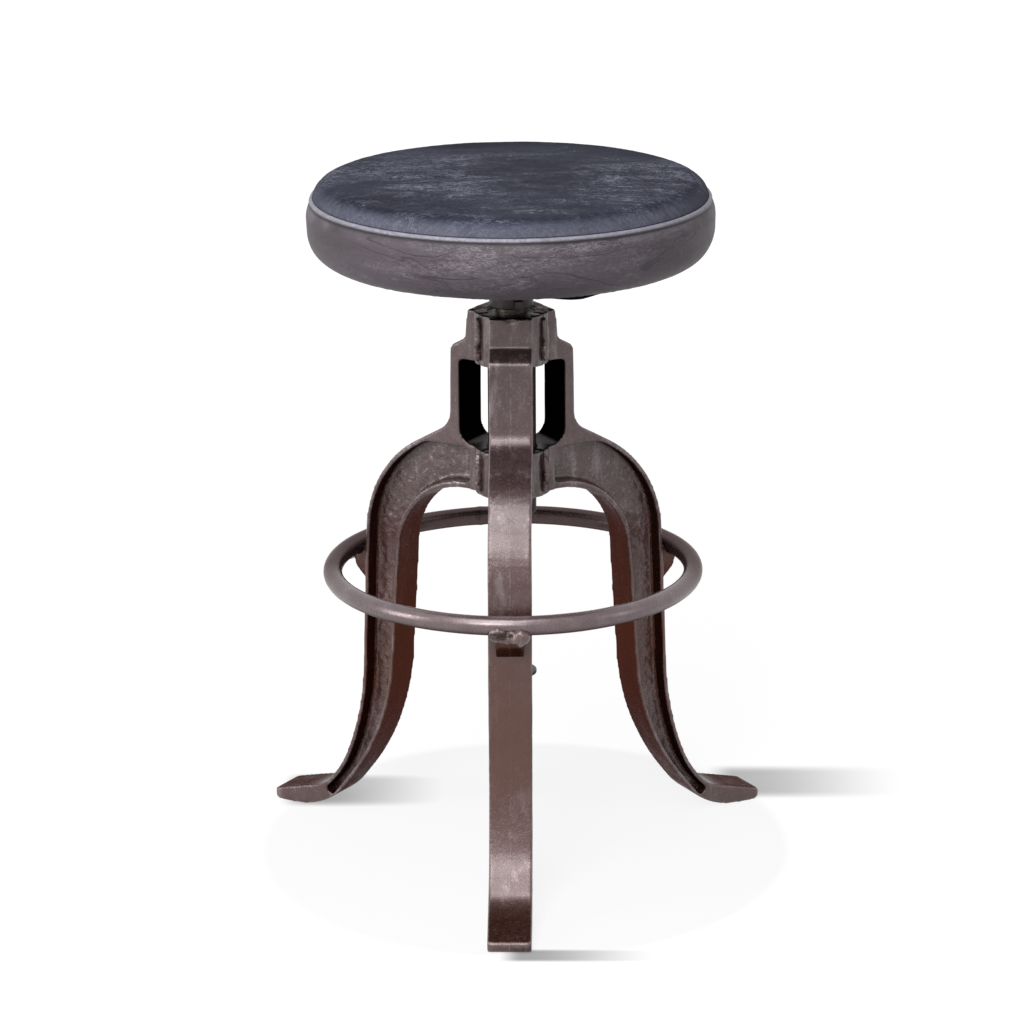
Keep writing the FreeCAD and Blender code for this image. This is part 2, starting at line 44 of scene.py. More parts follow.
FOCAL_PIXELS, SHIFT_PIXELS = 3743.3, -0.6
CAMERA_DISTANCE, CAMERA_HEIGHT = 3.6, 1.4673
CAMERA_AZIMUTH, CAMERA_PITCH, CAMERA_ROLL = math.radians(1.1722), 0.29918, -0.0065
camera_data = bpy.data.cameras.new("camera")
camera_data.sensor_width = SENSOR_WIDTH
camera_data.lens = FOCAL_PIXELS * SENSOR_WIDTH / IMAGE_WIDTH
camera_data.shift_x = SHIFT_PIXELS / IMAGE_WIDTH
camera = bpy.data.objects.new("camera", camera_data)
camera_place = Vector((math.sin(CAMERA_AZIMUTH), -math.cos(CAMERA_AZIMUTH), 0)) * CAMERA_DISTANCE
camera_place.z = CAMERA_HEIGHT
camera.matrix_world = (
    Matrix.Translation(camera_place)
    @ Matrix.Rotation(CAMERA_AZIMUTH, 4, "Z")
    @ Matrix.Rotation(math.pi / 2 - CAMERA_PITCH, 4, "X")
    @ Matrix.Rotation(CAMERA_ROLL, 4, "Z")
)
bpy.context.collection.objects.link(camera)
bpy.context.scene.camera = camera
bpy.context.scene.view_settings.view_transform = "Standard"


# Backdrop and lights: a white sweep, with one broad soft box in front, one above, one on the
# left and a weak one on the right. Camera, glossy and transmission rays see it white.
class Socket:
    """A shader value with arithmetic: a * b, 1 - a and so on add Math nodes."""

    def __init__(self, tree, value=None):
        self.tree = tree
        self.value = value

    def node(self, kind, output=0, **settings):
        """Adds a node and gives one of its outputs. Settings starting p_ are its properties, set
        first; the others set or link its inputs, by name or, as i0, i1 and so on, by number."""
        made = self.tree.nodes.new(kind)
        for key, value in settings.items():
            if key.startswith("p_"):
                setattr(made, key[2:], value)
        for key, value in settings.items():
            if not key.startswith("p_"):
                index = int(key[1:]) if key[0] == "i" and key[1:].isdigit() else key.replace("_", " ")
                self.link(made.inputs[index], value)
        return Socket(self.tree, made.outputs[output])

    def link(self, target, value):
        """Links another socket's value to an input, or sets a plain one."""
        if isinstance(value, Socket):
            self.tree.links.new(value.value, target)
        else:
            target.default_value = value

    def maths(self, operation, first, second=0.0):
        """Math node on two numbers or sockets."""
        return self.node("ShaderNodeMath", p_operation=operation, i0=first, i1=second)

    def __add__(self, other):
        return self.maths("ADD", self, other)

    def __sub__(self, other):
        return self.maths("SUBTRACT", self, other)

    def __rsub__(self, other):
        return self.maths("SUBTRACT", other, self)

    def __mul__(self, other):
        return self.maths("MULTIPLY", self, other)

    def __truediv__(self, other):
        return self.maths("DIVIDE", self, other)

    def __rtruediv__(self, other):
        return self.maths("DIVIDE", other, self)

    def __abs__(self):
        return self.maths("ABSOLUTE", self)

    __radd__ = __add__
    __rmul__ = __mul__

    def most(self, other):
        """The greater of the two."""
        return self.maths("MAXIMUM", self, other)

    def ramp(self, low, high, start=0.0, end=1.0):
        """Clamped smooth change from start at low to end at high."""
        return self.node(
            "ShaderNodeMapRange", p_interpolation_type="SMOOTHSTEP",
            Value=self, From_Min=low, From_Max=high, To_Min=start, To_Max=end,
        )

    def noise(self, scale, detail=3.0, roughness=0.5, distortion=0.0):
        """Noise texture at these coordinates, as a value about 0.5."""
        return self.node(
            "ShaderNodeTexNoise",
            Vector=self, Scale=scale, Detail=detail, Roughness=roughness, Distortion=distortion,
        )

    def cells(self, scale):
        """Distance from these coordinates to the nearest point of a Voronoi texture."""
        return self.node("ShaderNodeTexVoronoi", Vector=self, Scale=scale)

    def stretched(self, x, y, z):
        """Coordinates scaled by axis."""
        return self.node("ShaderNodeVectorMath", p_operation="MULTIPLY", i0=self, i1=(x, y, z))

    def mix(self, first, second):
        """Colour mix from first at 0 to second at 1."""
        return self.node("ShaderNodeMix", 2, p_data_type="RGBA", i0=self, i6=first, i7=second)

    def separate(self, axis):
        """One component of a vector."""
        return self.node("ShaderNodeSeparateXYZ", axis, Vector=self)


def sees_backdrop(tree):
    """1 for the rays that see the backdrop white, 0 for those that light the object."""
    rays = ("Is Camera Ray", "Is Glossy Ray", "Is Transmission Ray")
    camera_ray, glossy_ray, transmission_ray = (Socket(tree).node("ShaderNodeLightPath", ray) for ray in rays)
    return camera_ray.most(glossy_ray).most(transmission_ray)


def soft_light(name, location, target, width, height, power):
    """Rectangular studio light at location, facing target, in metres and watts."""
    data = bpy.data.lights.new(name, "AREA")
    data.shape = "RECTANGLE"
    data.size = width
    data.size_y = height
    data.energy = power
    light = bpy.data.objects.new(name, data)
    aim = Vector(target) - Vector(location)
    light.matrix_world = Matrix.Translation(location) @ aim.to_track_quat("-Z", "Y").to_matrix().to_4x4()
    bpy.context.collection.objects.link(light)
    return light


SKY_SHADE, WHITE = (0.17, 0.17, 0.185, 1.0), (1.0, 1.0, 1.0, 1.0)
world = bpy.data.worlds.new("backdrop")
bpy.context.scene.world = world
world.use_nodes = True
backdrop = sees_backdrop(world.node_tree)
backdrop.link(world.node_tree.nodes["Background"].inputs["Color"], backdrop.mix(SKY_SHADE, WHITE))
soft_light("front_box", (-0.55, -2.3, 1.95), (0, -0.1, 0.4), 1.1, 1.05, 43)
soft_light("top_box", (-0.35, -1.1, 2.55), (0, -0.15, 0.3), 1.1, 1.4, 32)
soft_light("left_box", (-2.1, -0.9, 1.0), (0, 0, 0.35), 0.5, 1.3, 22)
soft_light("right_box", (2.1, -0.8, 1.2), (0, 0, 0.4), 0.4, 1.2, 3.5)

# Floor: one wide white sheet that glows by itself, with painted shadows in its colour: a faintly
# grey oval under the stool and a soft streak of shade running off to the right from each foot.
MM = 0.001
FLOOR_HALF, FLOOR_DROP = 9000.0, 0.2
OVAL_MIDDLE, OVAL_HALF, OVAL_SHADE = (0.0104, -0.004), (0.272, 0.292), 0.085
FOOT_STREAKS = [
    (-0.225, 0.146, 0.19, 0.052, 0.62), (0.235, 0.172, 0.2, 0.05, 0.55), (0.012, -0.288, 0.15, 0.016, 0.7)
]


def new_mesh(name, points, faces):
    """Object from points and faces in millimetres, smooth shaded, linked to the scene."""
    mesh = bpy.data.meshes.new(name)
    mesh.from_pydata((np.asarray(points) * MM).tolist(), [], [tuple(f) for f in faces])
    mesh.polygons.foreach_set("use_smooth", [True] * len(mesh.polygons))
    mesh.validate()
    obj = bpy.data.objects.new(name, mesh)
    bpy.context.collection.objects.link(obj)
    return obj


def set_material(obj, material):
    """Makes this the object's only material."""
    obj.data.materials.clear()
    obj.data.materials.append(material)


def floor_streak(start_x, middle_y, length, half_width, depth):
    """Shade that leaves start_x towards +X: full there, gone after length, soft across its width."""
    along = (floor_x - start_x) / length
    across = (floor_y - middle_y) / half_width
    fade = along.ramp(0.0, 1.0, 1.0, 0.0) * along.ramp(-0.18, 0.0)
    return fade * (across * across).ramp(0.25, 1.1, 1.0, 0.0) * depth


floor = new_mesh(
    "floor",
    [(x * FLOOR_HALF, y * FLOOR_HALF, -FLOOR_DROP) for x, y in ((-1, -1), (1, -1), (1, 1), (-1, 1))],
    [(0, 1, 2, 3)],
)
floor_material = bpy.data.materials.new("floor_white")
floor_material.use_nodes = True
floor_place = Socket(floor_material.node_tree).node("ShaderNodeTexCoord", "Object")
floor_x, floor_y = floor_place.separate(0), floor_place.separate(1)
oval_x, oval_y = (floor_x - OVAL_MIDDLE[0]) / OVAL_HALF[0], (floor_y - OVAL_MIDDLE[1]) / OVAL_HALF[1]
# Painted shadow: the grey oval under the stool and the streaks by the feet darken the glow.
shade = (oval_x * oval_x + oval_y * oval_y).ramp(0.93, 1.07, OVAL_SHADE, 0.0)
for streak in FOOT_STREAKS:
    shade = shade.most(floor_streak(*streak))
far = (floor_x * floor_x + floor_y * floor_y).ramp(0.2, 4.0, 0.94, 1.02)
white = (1.0 - shade) * far
white_colour = white.node("ShaderNodeCombineColor", i0=white, i1=white, i2=white)
glow = floor_place.node("ShaderNodeEmission", Color=white_colour)
paper = floor_place.node("ShaderNodeBsdfDiffuse", Color=(0.11, 0.11, 0.11, 1.0))
sheet = floor_place.node("ShaderNodeBsdfDiffuse", Color=(0.5, 0.49, 0.49, 1.0))
glowing_paper = floor_place.node("ShaderNodeAddShader", i0=glow, i1=paper)
floor_surface = floor_place.node(
    "ShaderNodeMixShader", i0=sees_backdrop(floor_material.node_tree), i1=sheet, i2=glowing_paper
)
floor_place.link(floor_material.node_tree.nodes["Material Output"].inputs["Surface"], floor_surface)
set_material(floor, floor_material)

# Cast legs: three sand castings with drafted, rounded edges, rough webs between their
# flanges, a parting line down the outer flange and faceted collars round the sleeve.
# The iron is left in its dark casting skin and waxed; edges are rubbed bright. Painted shade
# darkens hollows, inner sides, foot tops and the insides of the windows, painted glints fleck the
# grain, and the hub's up-facing top is darkened nearly black.
TAU = 2 * math.pi
LEG_AZIMUTH = {"front": -90.0, "right": 30.0, "left": 150.0}
LEG_VOXEL = 1.6
WINDOW_LOW, WINDOW_HIGH, HUB_TOP = 427.0, 515.0, 567.0
WEB_REACH, RIM_REACH = 6.0, 9.5
COLLAR_RADIUS, COLLAR_FLATS = 38.0, 12
SOLE_HEIGHT = 1.5


def outward_at(angle):
    """Unit vectors that point away from the Z axis at these angles."""
    return np.stack([np.cos(angle), np.sin(angle), 0.0 * angle], axis=-1)


def lattice_noise(points, cell, seed=0):
    """Smooth noise in -1..1: hashed values on a cubic lattice of that cell, blended by f*f*(3 - 2f)."""
    q = np.asarray(points, float) / cell + 31.7 * seed
    whole = np.floor(q).astype(np.int64)
    part = q - whole
    part = part * part * (3 - 2 * part)
    total = np.zeros(len(q))
    for corner in range(8):
        step = np.array([(corner >> axis) & 1 for axis in range(3)])
        ids = whole + step
        h = ids[:, 0] * 73856093 ^ ids[:, 1] * 19349663 ^ ids[:, 2] * 83492791 ^ (seed * 7919)
        h = (h ^ (h >> 13)) * 1274126177 & 0x7FFFFFFF
        h = (h ^ (h >> 11)) & 0xFFFF
        weight = np.prod(np.where(step, part, 1 - part), axis=1)
        total += weight * (h / 32767.5 - 1)
    return total


def layered(points, cell, octaves, seed=0):
    """Sum of lattice noise, each layer half the cell and half the strength of the one before."""
    total = np.zeros(len(points))
    for layer in range(octaves):
        total += lattice_noise(points, cell / 2**layer, seed + layer) / 2**layer
    return total


def layered_round(angle, turns, along, octaves, seed):
    """Layered noise of cell 1 around the Z axis, turns cells to a radian, that also varies along a value."""
    return layered(np.stack([angle * turns, along + 0 * angle, 0 * angle], axis=1), 1.0, octaves, seed)


def smooth(low, high, value):
    """Smoothstep from 0 at low to 1 at high."""
    t = np.clip((value - low) / (high - low), 0, 1)
    return t * t * (3 - 2 * t)


def mesh_points(mesh):
    """A mesh's vertices in millimetres."""
    values = np.empty(len(mesh.vertices) * 3)
    mesh.vertices.foreach_get("co", values)
    return values.reshape(-1, 3) / MM


def mesh_normals(mesh):
    """A mesh's vertex normals."""
    values = np.empty(len(mesh.vertices) * 3)
    mesh.vertices.foreach_get("normal", values)
    return values.reshape(-1, 3)


def point_attribute(obj, name, values):
    """Stores one number per vertex, in place of any there was, for the material to read."""
    attributes = obj.data.attributes
    layer = attributes.get(name) or attributes.new(name, "FLOAT", "POINT")
    values = np.broadcast_to(np.asarray(values, np.float32), (len(obj.data.vertices),))
    layer.data.foreach_set("value", np.ascontiguousarray(values))


def merged_copy(node, name):
    """Copy of a CAD node's mesh with its split vertices merged."""
    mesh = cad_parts[node].data.copy()
    work = bmesh.new()
    work.from_mesh(mesh)
    bmesh.ops.remove_doubles(work, verts=work.verts, dist=1e-5)
    work.to_mesh(mesh)
    work.free()
    mesh.materials.clear()
    for layer in list(mesh.uv_layers):
        mesh.uv_layers.remove(layer)
    obj = bpy.data.objects.new(name, mesh)
    bpy.context.collection.objects.link(obj)
    return obj


def cast_surface(node, name, voxel, rounds):
    """Even quads over a CAD node with its edges rounded, as (points in mm, faces)."""
    temporary = merged_copy(node, name + "_source")
    remesh = temporary.modifiers.new("even", "REMESH")
    remesh.mode = "VOXEL"
    remesh.voxel_size = voxel * MM
    rounding = temporary.modifiers.new("round", "SMOOTH")
    rounding.factor = 0.5
    rounding.iterations = rounds
    graph = bpy.context.evaluated_depsgraph_get()
    mesh = temporary.evaluated_get(graph).to_mesh()
    points, faces = mesh_points(mesh), [tuple(p.vertices) for p in mesh.polygons]
    bpy.data.objects.remove(temporary)
    return points, faces


def convexity(obj, points, normals, spreads):
    """How far each vertex stands out from its neighbours, along its normal, spread over the mesh."""
    pairs = np.empty(len(obj.data.edges) * 2, int)
    obj.data.edges.foreach_get("vertices", pairs)
    a, b = pairs.reshape(-1, 2).T
    count = np.bincount(a, minlength=len(points)) + np.bincount(b, minlength=len(points))

    def neighbour_mean(values):
        """Mean of the values at the other ends of each vertex's edges."""
        total = np.bincount(a, values[b], len(points)) + np.bincount(b, values[a], len(points))
        return total / np.maximum(count, 1)

    mean = np.stack([neighbour_mean(points[:, k]) for k in range(3)], axis=1)
    bulge = np.einsum("ij,ij->i", points - mean, normals)
    results = []
    for step in range(max(spreads)):
        bulge = 0.5 * bulge + 0.5 * neighbour_mean(bulge)
        if step + 1 in spreads:
            results.append(bulge.copy())
    return results


def web_and_collar(points, normals, sideways, seed):
    """How far a leg's surface is moved, and where its webs are.

    A web is moved by two layers of noise, further in where these make pits, and by finer
    pebbles. A collar is cut to flats: radius * (1 - cos(half a flat) / cos(angle from its middle)).
    """
    axis_distance = np.hypot(points[:, 0], points[:, 1])
    web = smooth(RIM_REACH, WEB_REACH, np.abs(points @ sideways))
    web *= smooth(0.5, 0.9, np.abs(normals @ sideways))
    web *= smooth(COLLAR_RADIUS + 1.5, COLLAR_RADIUS + 4.0, axis_distance)
    pits = layered(points, 8.0, 2, seed + 3)
    lift = web * (0.5 * pits - 0.3 * smooth(0.25, 0.8, pits) + 0.34 * lattice_noise(points, 4.2, seed + 9))
    half = math.pi / COLLAR_FLATS
    turn = np.arctan2(points[:, 1], points[:, 0]) + half
    flat = COLLAR_RADIUS * (1 - math.cos(half) / np.cos(turn % (2 * half) - half))
    collar = smooth(COLLAR_RADIUS + 1.6, COLLAR_RADIUS + 0.2, axis_distance)
    collar *= smooth(COLLAR_RADIUS - 2.5, COLLAR_RADIUS - 1.0, axis_distance)
    lift -= collar * smooth(0.6, 0.9, np.hypot(normals[:, 0], normals[:, 1])) * flat
    lift += collar * 0.3 * layered(points, 11.0, 2, seed + 5)
    return lift, web


def casting(node, name, azimuth, voxel, rounds, leg=True):
    """A cast piece: rounded copy of a CAD node, moved along its normals by sand noise, with masks for
    rubbing, webs, the parting line and painted shade.
    """
    points, faces = cast_surface(node, name, voxel, rounds)
    obj = new_mesh(name, points, faces)
    normals = mesh_normals(obj.data)
    radial = outward_at(math.radians(azimuth))
    sideways = outward_at(math.radians(azimuth + 90.0))
    seed = int(azimuth) % 17
    lift, web = 0.25 * layered(points, 42.0, 2, seed), np.zeros(len(points))
    if leg:
        relief, web = web_and_collar(points, normals, sideways, seed)
        lift += relief
    moved = points + normals * lift[:, None]
    sole = points[:, 2] < SOLE_HEIGHT
    moved[sole, 2] = np.maximum(points[sole, 2], 0.0)
    obj.data.vertices.foreach_set("co", (moved * MM).ravel())
    obj.data.update()

    reach, height = points @ radial, points[:, 2]
    outward, upward = normals @ radial, normals[:, 2]
    edge, hollow_shade = convexity(obj, points, normals, (2, 5))
    in_window = smooth(WINDOW_LOW - 5, WINDOW_LOW - 2, height)
    in_window *= smooth(WINDOW_HIGH + 3, WINDOW_HIGH - 2, height)
    shut_in = np.maximum(smooth(0.2, 0.6, -outward), 0.75 * smooth(0.4, 0.9, upward))
    inner_side_shade = smooth(0.15, 0.7, -outward) * smooth(COLLAR_RADIUS, COLLAR_RADIUS + 14.0, reach)
    foot_top_shade = smooth(34.0, 20.0, height) * smooth(0.6, 0.95, upward)
    # Masks for rubbing, webs and the parting line, and for painted shade on inner sides, foot tops, hollows
    # and window insides; one more marks the hub's up-facing top, which is darkened.
    wear_and_shade = {
        "edge": edge / voxel,
        "hollow_shade": smooth(0.03, 0.12, -hollow_shade / voxel),
        "web": web,
        "across": points @ sideways,
        "outer": smooth(0.3, 0.8, outward),
        "painted_shade": np.maximum(inner_side_shade, foot_top_shade),
        "window_shade": in_window * smooth(58.0, 50.0, reach) * shut_in,
        "oil": smooth(HUB_TOP - 14, HUB_TOP - 5, height) * smooth(0.2, 0.8, upward),
    }
    for key, values in wear_and_shade.items():
        point_attribute(obj, key, values)
    return obj


def rgb(red, green, blue):
    """Linear colour of an 8-bit display colour."""
    channels = [c / 255 for c in (red, green, blue)]
    return tuple(c / 12.92 if c < 0.04045 else ((c + 0.055) / 1.055) ** 2.4 for c in channels) + (1.0,)


class Material:
    """A Principled material whose inputs are set by name, with its object coordinates as a socket."""

    def __init__(self, name):
        self.material = bpy.data.materials.new(name)
        self.material.use_nodes = True
        self.shader = self.material.node_tree.nodes["Principled BSDF"]
        self.base = Socket(self.material.node_tree)
        self.object = self.base.node("ShaderNodeTexCoord", "Object")

    def attribute(self, name):
        """Number stored on the mesh under that name."""
        return self.base.node("ShaderNodeAttribute", "Fac", p_attribute_name=name)

    def bump(self, height, distance, strength):
        """Normal that a height in 0..1 bends, over distance in metres."""
        return self.base.node("ShaderNodeBump", Strength=strength, Distance=distance, Height=height)

    def set(self, **inputs):
        """Sets or links the shader's inputs and gives the material."""
        for key, value in inputs.items():
            self.base.link(self.shader.inputs[key.replace("_", " ")], value)
        return self.material


def iron_material(name, tones, wear_and_painted_glint, roughness, legs=False, sand=1.0):
    """Waxed cast iron: mottled brown skin, sandy grain with painted glints, edges brightened by rubbing,
    painted shade in hollows and on shaded sides, and rough webs; legs also get a parting line, a rust tint,
    painted shade in the windows and a darkened hub top.
    """
    iron = Material(name)
    where = iron.object
    edge, hollow_shade = iron.attribute("edge"), iron.attribute("hollow_shade")
    web, painted_shade = iron.attribute("web"), iron.attribute("painted_shade")
    cloud = where.noise(9.0, 4.0, 0.6)
    mottle = where.noise(70.0, 5.0, 0.68)
    grain = where.noise(480.0, 3.0, 0.65)
    pebble = where.noise(230.0, 3.0, 0.6)
    streaks = where.stretched(1.0, 1.0, 0.25).noise(52.0, 4.0, 0.65)
    pits = where.cells(170.0).ramp(0.0, 0.15, 1.0, 0.0) * where.noise(34.0).ramp(0.5, 0.66)
    rub = (edge + (mottle - 0.5) * 0.05).ramp(0.05, 0.17) * mottle.ramp(0.3, 0.6, 0.3, 0.8)
    # Painted glints: pale specks on the grain and webs, mixed into the colour.
    painted_glints = pebble.ramp(0.56, 0.72) * (web * 0.3 + 0.06 * sand) + grain.ramp(0.56, 0.7) * (0.22 * sand)
    shut_off = painted_shade.most(hollow_shade)

    tone = cloud.ramp(0.35, 0.65).mix(tones["skin"], tones["cloud"])
    tone = mottle.ramp(0.42, 0.72, 0.0, 0.6).mix(tone, tones["mottle"])
    tone = (streaks.ramp(0.47, 0.36) * (0.35 * sand)).mix(tone, tones["shaded"])
    tone = (streaks.ramp(0.52, 0.68) * (0.3 * sand)).mix(tone, wear_and_painted_glint)
    # Painted shade: inner sides, foot tops, the bracket and the ring's underside and back darken towards the
    # shaded tone.
    tone = (painted_shade * 0.9).mix(tone, tones["shaded"])
    tone = (pits * (0.5 * sand)).mix(tone, rgb(20, 14, 13))
    # Painted shade: hollows and concave corners darken nearly black.
    tone = (hollow_shade * 0.85).mix(tone, rgb(20, 13, 12))
    tone = painted_glints.mix(tone, wear_and_painted_glint)
    tone = (rub * 0.5).mix(tone, wear_and_painted_glint)
    rough = grain.ramp(0.3, 0.7, roughness - 0.08, roughness + 0.12) + hollow_shade * 0.25 - rub * 0.06
    rough = rough + streaks.ramp(0.35, 0.65, 0.08 * sand, -0.08 * sand)
    relief = grain * (web + 0.5) + pebble * (web * 2.0 + 0.3) - pits * 0.6
    metal, bare = shut_off * 0.5 + 0.4, shut_off
    if legs:
        window_shade, oil = iron.attribute("window_shade"), iron.attribute("oil")
        off_line = abs(iron.attribute("across") + (where.noise(16.0, 2.0) * 3.0 - 1.5))
        outer = iron.attribute("outer")
        line = off_line.ramp(0.2, 1.2, 1.0, 0.0) * outer * mottle.ramp(0.42, 0.6)
        nodules = where.stretched(1.0, 1.0, 0.8).cells(130.0).ramp(0.0, 0.3, 1.0, 0.0)
        relief = relief + line * 0.3 + off_line.ramp(0.5, 3.4, 1.0, 0.0) * outer * nodules * 0.7
        high = where.separate(2)
        rust = high.ramp(0.04, 0.17, 0.35, 1.0) * high.ramp(0.18, 0.42, 1.0, 0.1)
        rust = rust * (1.0 - rub) * cloud.ramp(0.3, 0.6, 0.6, 1.0)
        tone = (line * 0.2).mix(tone, wear_and_painted_glint)
        tone = (rust * 0.88).mix(tone, tones["rust"])
        # Painted shade: the insides of the windows go nearly black. The hub's up-facing top is also darkened
        # nearly black.
        tone = window_shade.most(oil * mottle.ramp(0.3, 0.6, 1.0, 0.6)).mix(tone, rgb(11, 8, 8))
        rough = rough + window_shade * 0.3 - oil * 0.06
        metal = metal.most(window_shade).most(oil * 0.9)
        bare = bare.most(window_shade).most(oil * mottle.ramp(0.4, 0.6, 1.0, 0.6))
    return iron.set(
        Base_Color=tone, Roughness=rough, Metallic=metal, Normal=iron.bump(relief * sand, 0.0010, 0.8),
        Specular_IOR_Level=0.4, Specular_Tint=(0.42, 0.36, 0.36, 1.0),
        Coat_Weight=1.0 - bare, Coat_Roughness=0.28,
    )


LEG_TONES = dict(
    skin=rgb(80, 61, 62), cloud=rgb(68, 52, 54), mottle=rgb(98, 80, 83), shaded=rgb(60, 41, 36),
    rust=rgb(82, 46, 32),
)
leg_iron = iron_material("waxed_iron", LEG_TONES, rgb(172, 160, 164), 0.32, legs=True)
for side, azimuth in LEG_AZIMUTH.items():
    leg = casting(f"leg_{side}", f"leg_casting_{side}", azimuth, LEG_VOXEL, 3)
    set_material(leg, leg_iron)
    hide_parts(f"leg_{side}")
    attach(leg, "frame")

# Ring brackets: small iron gussets from each leg's outer flange to the ring's underside,
# rounded in below, under the same wax as the legs, with painted shade over them that deepens
# towards the bottom.
BRACKET_VOXEL = 1.1
BRACKET_SHADE_BOTTOM, BRACKET_SHADE_TOP = 268.0, 286.0
for side, azimuth in LEG_AZIMUTH.items():
    bracket = casting(f"ring_bracket_{side}", f"ring_gusset_{side}", azimuth, BRACKET_VOXEL, 3, leg=False)
    bracket_z = mesh_points(bracket.data)[:, 2]
    # Painted shade: the whole bracket is shaded, more so near its bottom.
    point_attribute(bracket, "painted_shade", 0.7 + 0.3 * smooth(BRACKET_SHADE_TOP, BRACKET_SHADE_BOTTOM, bracket_z))
    point_attribute(bracket, "edge", 0.0)
    set_material(bracket, leg_iron)
    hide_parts(f"ring_bracket_{side}")
    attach(bracket, "frame")

# Foot ring: a round steel bar bent to a circle and butt welded at the back, blackened
# and waxed, with painted shade on the bar's underside and over the back of the ring.
RING_RADIUS, RING_HEIGHT, BAR_RADIUS = 181.95, 298.0, 9.5
RING_AROUND, BAR_AROUND = 360, 32
BUTT_AZIMUTH, BUTT_WIDTH, BUTT_HEIGHT = 1.78, 3.2, 0.5


def grid_faces(rows, columns, closed=False):
    """Quads between the points of a grid of rows, each a closed ring of columns; closed joins the
    last row to the first."""
    i, j = np.meshgrid(np.arange(rows if closed else rows - 1), np.arange(columns), indexing="ij")
    i, j = i.ravel(), j.ravel()
    above, beside = (i + 1) % rows, (j + 1) % columns
    return np.stack(
        [i * columns + j, i * columns + beside, above * columns + beside, above * columns + j], axis=1
    )


def torus_points(radius, tube, height, around, section):
    """Circle of radius tube swung round the Z axis at radius: points, outward directions, both angles."""
    turn, roll = np.meshgrid(
        np.arange(around) * TAU / around, np.arange(section) * TAU / section, indexing="ij"
    )
    turn, roll = turn.ravel(), roll.ravel()
    outward = outward_at(turn) * np.cos(roll)[:, None]
    outward[:, 2] = np.sin(roll)
    return outward_at(turn) * radius + outward * tube + (0, 0, height), outward, turn, roll


def plain_wear_and_shade(obj, edge=0.0, web=0.0, hollow_shade=0.0, painted_shade=0.0):
    """Edge, web and painted-shade attributes of a piece without flanges."""
    for key, values in dict(edge=edge, web=web, hollow_shade=hollow_shade, painted_shade=painted_shade).items():
        point_attribute(obj, key, values)


ring_points, ring_out, ring_turn, ring_roll = torus_points(
    RING_RADIUS, BAR_RADIUS, RING_HEIGHT, RING_AROUND, BAR_AROUND
)
butt = np.exp(-(((ring_turn - BUTT_AZIMUTH) * RING_RADIUS / BUTT_WIDTH) ** 2))
ring_points += ring_out * (0.12 * layered(ring_points, 30.0, 2, 4) + BUTT_HEIGHT * butt)[:, None]
ring = new_mesh("foot_ring_bar", ring_points, grid_faces(RING_AROUND, BAR_AROUND, closed=True)[:, ::-1])
# Painted shade: the bar's underside and the back of the ring darken and lose their wax coat.
ring_shade = np.maximum(smooth(-0.2, -0.8, np.sin(ring_roll)), 0.8 * smooth(-110.0, 0.0, ring_points[:, 1]))
plain_wear_and_shade(ring, edge=0.05 * butt, painted_shade=ring_shade)
RING_TONES = dict(
    skin=rgb(100, 84, 86), cloud=rgb(90, 75, 78), mottle=rgb(116, 101, 103), shaded=rgb(72, 55, 54)
)
set_material(ring, iron_material("blackened_steel", RING_TONES, rgb(165, 154, 156), 0.27, sand=0.3))
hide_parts("foot_ring")
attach(ring, "frame")

# Welds: lumpy electric beads down the seams between the castings' collars, and a thick
# spattered bead between the ring and each bracket, waxed with the rest, with painted shade in the
# dips between their lumps.
SEAM_AZIMUTH = {"right": -30.0, "back": 90.0, "left": 210.0}
SEAM_LEVELS = {"upper": (518.5, 563.5), "lower": (383.5, 423.5)}
SEAM_RADIUS, SEAM_BEAD = COLLAR_RADIUS + 0.4, 3.5
RING_BEAD_RADIUS, RING_BEAD_HEIGHT, RING_BEAD = 189.3, 290.2, 7.2


def weld_bead(name, start, end, radius, out, seed, pitch, lumps, flatten=1.0, columns=26):
    """Bead from start to end, both in mm.

    A tube whose radius is radius * (1 + ripples of that pitch + lumps * noise), times the
    square root of 1 - |from the middle|^5, so that it closes to a point at each end.
    """
    start, end = np.asarray(start, float), np.asarray(end, float)
    length = np.linalg.norm(end - start)
    along = (end - start) / length
    rows = max(16, int(length / 0.7))
    t = np.linspace(0, 1, rows)
    turn = np.arange(columns) * TAU / columns
    taper = np.sqrt(np.clip(1 - np.abs(2 * t - 1) ** 5, 0, 1))
    centre = start + np.outer(t * length, along)
    rim = np.outer(np.cos(turn) * flatten, out) + np.outer(np.sin(turn), np.cross(along, out))
    points = (centre[:, None, :] + rim[None, :, :] * radius * taper[:, None, None]).reshape(-1, 3)
    centre = np.repeat(centre, columns, axis=0)
    swell = 0.05 * np.repeat(np.abs(np.sin(t * length / pitch * math.pi)), columns)
    swell += lumps * lattice_noise(points, radius * 1.5, seed)
    swell += 0.4 * lumps * lattice_noise(points, radius * 0.6, seed + 5)
    points = centre + (points - centre) * (1 + swell[:, None])

    # Each end row is one point, so its duplicates go and its quads become triangles.
    count = rows * columns
    kept = np.r_[0, columns:count - columns, count - 1]
    renumbered = np.clip(np.arange(count) - columns + 1, 0, len(kept) - 1)
    faces = [tuple(dict.fromkeys(quad)) for quad in renumbered[grid_faces(rows, columns)].tolist()]
    bead = new_mesh(name, points[kept], faces)
    swell = swell[kept]
    # Painted shade in the dips between the lumps.
    plain_wear_and_shade(bead, edge=0.02 + 0.25 * swell, web=0.35, hollow_shade=smooth(0.02, -0.22, swell) * 0.8)
    return bead


